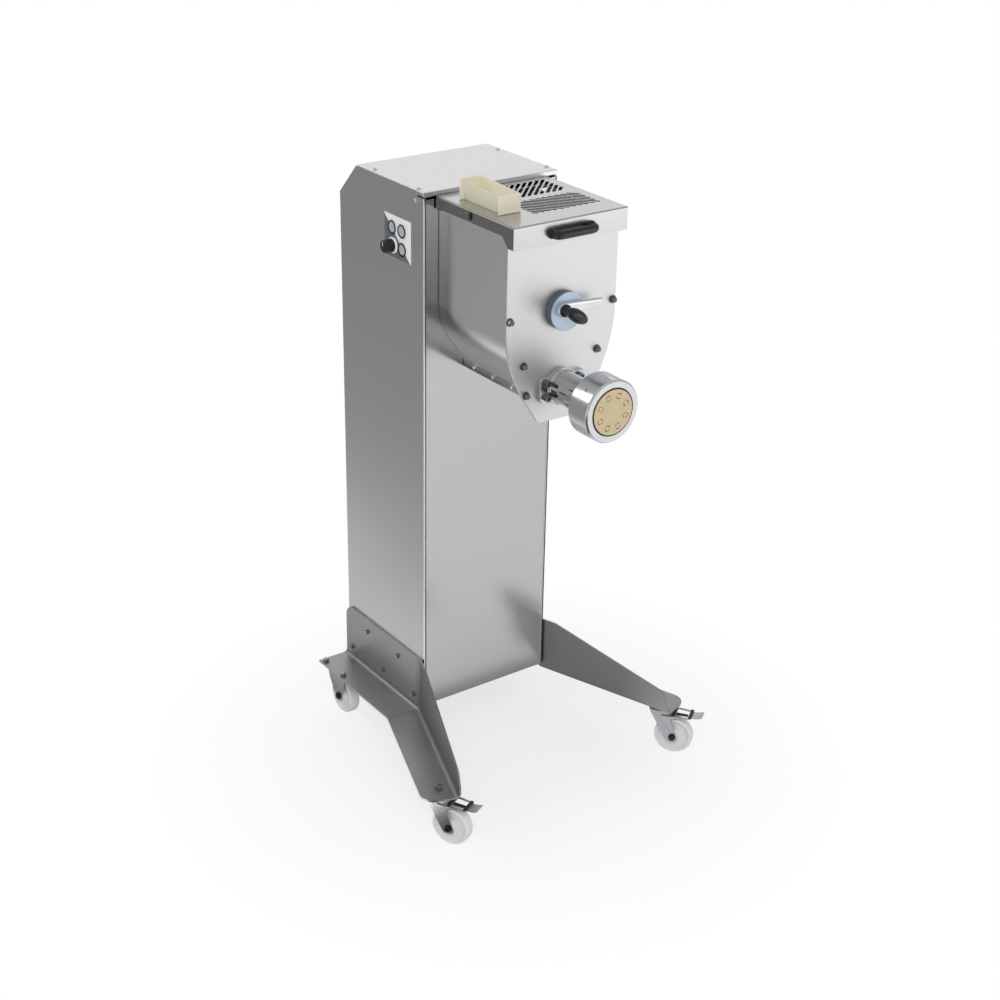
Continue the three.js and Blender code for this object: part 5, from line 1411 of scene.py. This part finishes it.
def build_floor():
    """Pale floor that keeps the shadow: white glow is mixed in for the camera, less for gloss, and
    more of it further from the machine."""
    made = Graph(bpy.data.materials.new("pale_floor"))
    seen = made.math("MAXIMUM", made.straight(), made.ray("Glossy") * 0.45)
    pale = made.blend(made.noise(3, 2.0, 0.5), (0.93, 0.93, 0.93), (0.95, 0.95, 0.95))
    lit = made.node("ShaderNodeBsdfDiffuse", Color=pale)
    glow = made.node("ShaderNodeEmission", Color=(1, 1, 1), Strength=1.0)
    x, y, _ = made.parts()
    far = ((made.math("SQRT", x * x + y * y) - 0.2) * 1.9).clipped()
    mix = made.node("ShaderNodeMixShader", _0=seen * (0.68 + far * 0.32), _1=lit, _2=glow)
    corners = [(x, y, 0) for x, y in rectangle(-12, -12, 12, 12)]
    sheet("floor", corners, made.close(mix))


def build_world():
    """A white world at half strength, seen at full strength by the camera."""
    world = bpy.data.worlds.new("studio")
    bpy.context.scene.world = world
    sky = Graph(world)
    strength = sky.straight() * 0.5 + 0.5
    ground = sky.node("ShaderNodeBackground", Color=(1, 1, 1), Strength=strength)
    sky.close(ground, "ShaderNodeOutputWorld")


# Lamps: name, place, aim, width, height, power and whether gloss sees it.
LAMPS = (
    ("key_box", (-2.0, -2.6, 3.0), (0, 0, 0.8), 1.8, 1.8, 60, False),
    ("top_box", (1.75, 3.05, 2.75), (0, 0, 1.2), 2.6, 2.0, 8.5, True),
    ("rear_left_box", (-1.62, 1.85, 2.15), (0, -0.35, 0.87), 0.9, 0.9, 8, True),
    ("right_box", (1.75, -2.65, 0.85), (0, 0, 0.95), 2.3, 1.3, 9, True),
)


def build_lamps():
    """Soft boxes turned to their aims, at a level at which a colour renders about as it is written."""
    for name, place, aim, width, height, power, glossy in LAMPS:
        lamp = bpy.data.lights.new(name, "AREA")
        lamp.shape = "RECTANGLE"
        lamp.size = width
        lamp.size_y = height
        lamp.energy = power
        obj = bpy.data.objects.new(name, lamp)
        obj.location = place
        obj.rotation_euler = (Vector(aim) - Vector(place)).to_track_quat("-Z", "Y").to_euler()
        obj.visible_camera = False
        obj.visible_glossy = glossy
        bpy.context.scene.collection.objects.link(obj)


# Greys of the floor cloth by their share of its reach.
FLOOR_GREYS = (
    (0.0, 0.85), (0.045, 0.8), (0.075, 0.58), (0.145, 0.36), (0.24, 0.26), (0.36, 0.29), (1.0, 0.3)
)

# Level cloths: name, height, corners, grey and strength.
CLOTHS = (
    ("floor_cloth", 0.002, ((-0.3, -0.04), (-0.3, 4.5), (-3.6, 4.5), (-3.6, -0.7)), FLOOR_GREYS, 1.0),
    ("front_cloth", 0.002, ((-0.32, -3.4), (-0.32, -0.16), (-2.6, -1.75), (-2.6, -3.4)), 0.08, 1.0),
    ("white_card", 0.002, ((-0.36, -0.08), (-3.2, -0.66), (-2.5, -1.64), (-0.36, -0.16)), 1.0, 2.2),
    ("under_cloth", 0.002, ((0.3, -0.16), (0.3, 1.4), (-0.3, 1.4), (-0.3, -0.16)), 0.3, 1.0),
    ("tub_card", 0.004, ((-0.32, 0.62), (-0.62, 0.95), (-0.62, 1.4), (-0.32, 1.4)), 1.0, 0.8),
    ("chin_cloth", 0.004, ((-0.3, -0.5), (-0.3, -1.3), (0.22, -1.3), (0.22, -0.5)), 0.36, 1.0),
)


def build_cloth(name, corners, grey, start, reach, strength):
    """A studio cloth that gloss alone sees and that gives the steel facing it a tone: one grey, or
    greys by the distance from a start along -x over a reach."""
    made = Graph(bpy.data.materials.new(f"{name}_felt"))
    x, _, _ = made.parts()
    stops = grey if isinstance(grey, tuple) else ((0.0, grey), (1.0, grey))
    colour = made.ramp((start - x) / reach, stops)
    felt = made.close(made.node("ShaderNodeEmission", Color=colour, Strength=strength))
    sheet(name, corners, felt, ("camera", "diffuse", "shadow", "transmission"))


def build_cloths():
    """The level cloths and the upright cloth behind the machine."""
    for name, height, corners, grey, strength in CLOTHS:
        build_cloth(name, [(x, y, height) for x, y in corners], grey, -0.3, 3.3, strength)
    wall = [(-3.6, 1.4, 0.0), (-0.5, 3.6, 0.0), (-0.5, 3.6, 3.4), (-3.6, 1.4, 3.4)]
    build_cloth("rear_cloth", wall, ((0.0, 0.26), (1.0, 0.28)), -0.5, 3.1, 1.0)


# Operators


class BuildStep:
    """What all build operators share: each runs its builders and fails if they add nothing."""

    bl_options = {"REGISTER", "UNDO"}

    def execute(self, context):
        before = len(bpy.data.objects)
        for build in self.builders:
            build()
        if len(bpy.data.objects) == before:
            raise RuntimeError(f"{self.bl_label} added no object")
        return {"FINISHED"}


class BuildStage(BuildStep, bpy.types.Operator):
    """Builds the camera, floor, world, lamps and cloths"""

    bl_idname = "pasta_maker.stage"
    bl_label = "Stage"
    builders = (build_camera, build_floor, build_world, build_lamps, build_cloths)


class BuildColumn(BuildStep, bpy.types.Operator):
    """Builds the column's panels and covers"""

    bl_idname = "pasta_maker.column"
    bl_label = "Column"
    builders = (build_column,)


class BuildControls(BuildStep, bpy.types.Operator):
    """Builds the control plate, buttons and selector"""

    bl_idname = "pasta_maker.controls"
    bl_label = "Controls"
    builders = (build_controls, build_selector)


class BuildHopper(BuildStep, bpy.types.Operator):
    """Builds the tub and the front plate"""

    bl_idname = "pasta_maker.hopper"
    bl_label = "Hopper"
    builders = (build_tub, build_front_plate)


class BuildLid(BuildStep, bpy.types.Operator):
    """Builds the lid, its handle and the liquid tray"""

    bl_idname = "pasta_maker.lid"
    bl_label = "Lid and tray"
    builders = (build_lid, build_lid_handle, build_tray)


class BuildExtruder(BuildStep, bpy.types.Operator):
    """Builds the barrel, ring nut and die"""

    bl_idname = "pasta_maker.extruder"
    bl_label = "Extruder"
    builders = (build_extruder, build_die)


class BuildLock(BuildStep, bpy.types.Operator):
    """Builds the shaft cap, lock lever and knob"""

    bl_idname = "pasta_maker.lock"
    bl_label = "Cap and lock"
    builders = (build_cap, build_lock)


class BuildLegs(BuildStep, bpy.types.Operator):
    """Builds the two bent legs and their bolts"""

    bl_idname = "pasta_maker.legs"
    bl_label = "Legs"
    builders = (build_legs, build_leg_details)


class BuildCastors(BuildStep, bpy.types.Operator):
    """Builds the four castors"""

    bl_idname = "pasta_maker.castors"
    bl_label = "Castors"
    builders = (build_castors,)


class BuildFasteners(BuildStep, bpy.types.Operator):
    """Builds the screws and cap nuts"""

    bl_idname = "pasta_maker.fasteners"
    bl_label = "Fasteners"
    builders = (build_cover_screws, build_cap_nuts)


STEPS = (
    BuildStage,
    BuildColumn,
    BuildControls,
    BuildHopper,
    BuildLid,
    BuildExtruder,
    BuildLock,
    BuildLegs,
    BuildCastors,
    BuildFasteners,
)


class PastaMakerPanel(bpy.types.Panel):
    """Lists the sizes, colours and build steps"""

    bl_idname = "VIEW3D_PT_pasta_maker"
    bl_label = "Pasta maker"
    bl_space_type = "VIEW_3D"
    bl_region_type = "UI"
    bl_category = "Pasta maker"

    def draw(self, context):
        column = self.layout.column()
        for group in (context.scene.pasta_maker_sizes, context.scene.pasta_maker_finishes):
            for name in group.__annotations__:
                column.prop(group, name)
        for step in STEPS:
            column.operator(step.bl_idname)


CLASSES = (PastaMakerSizes, PastaMakerFinishes, *STEPS, PastaMakerPanel)


def register():
    """Registers the classes and hangs the two groups of properties on the scene."""
    for each in CLASSES:
        bpy.utils.register_class(each)
    bpy.types.Scene.pasta_maker_sizes = PointerProperty(type=PastaMakerSizes)
    bpy.types.Scene.pasta_maker_finishes = PointerProperty(type=PastaMakerFinishes)


def unregister():
    """Takes back what register did."""
    del bpy.types.Scene.pasta_maker_finishes
    del bpy.types.Scene.pasta_maker_sizes
    for each in reversed(CLASSES):
        bpy.utils.unregister_class(each)


def main():
    """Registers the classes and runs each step."""
    register()
    for step in STEPS:
        group, name = step.bl_idname.split(".")
        getattr(getattr(bpy.ops, group), name)()


if __name__ == "__main__":
    main()
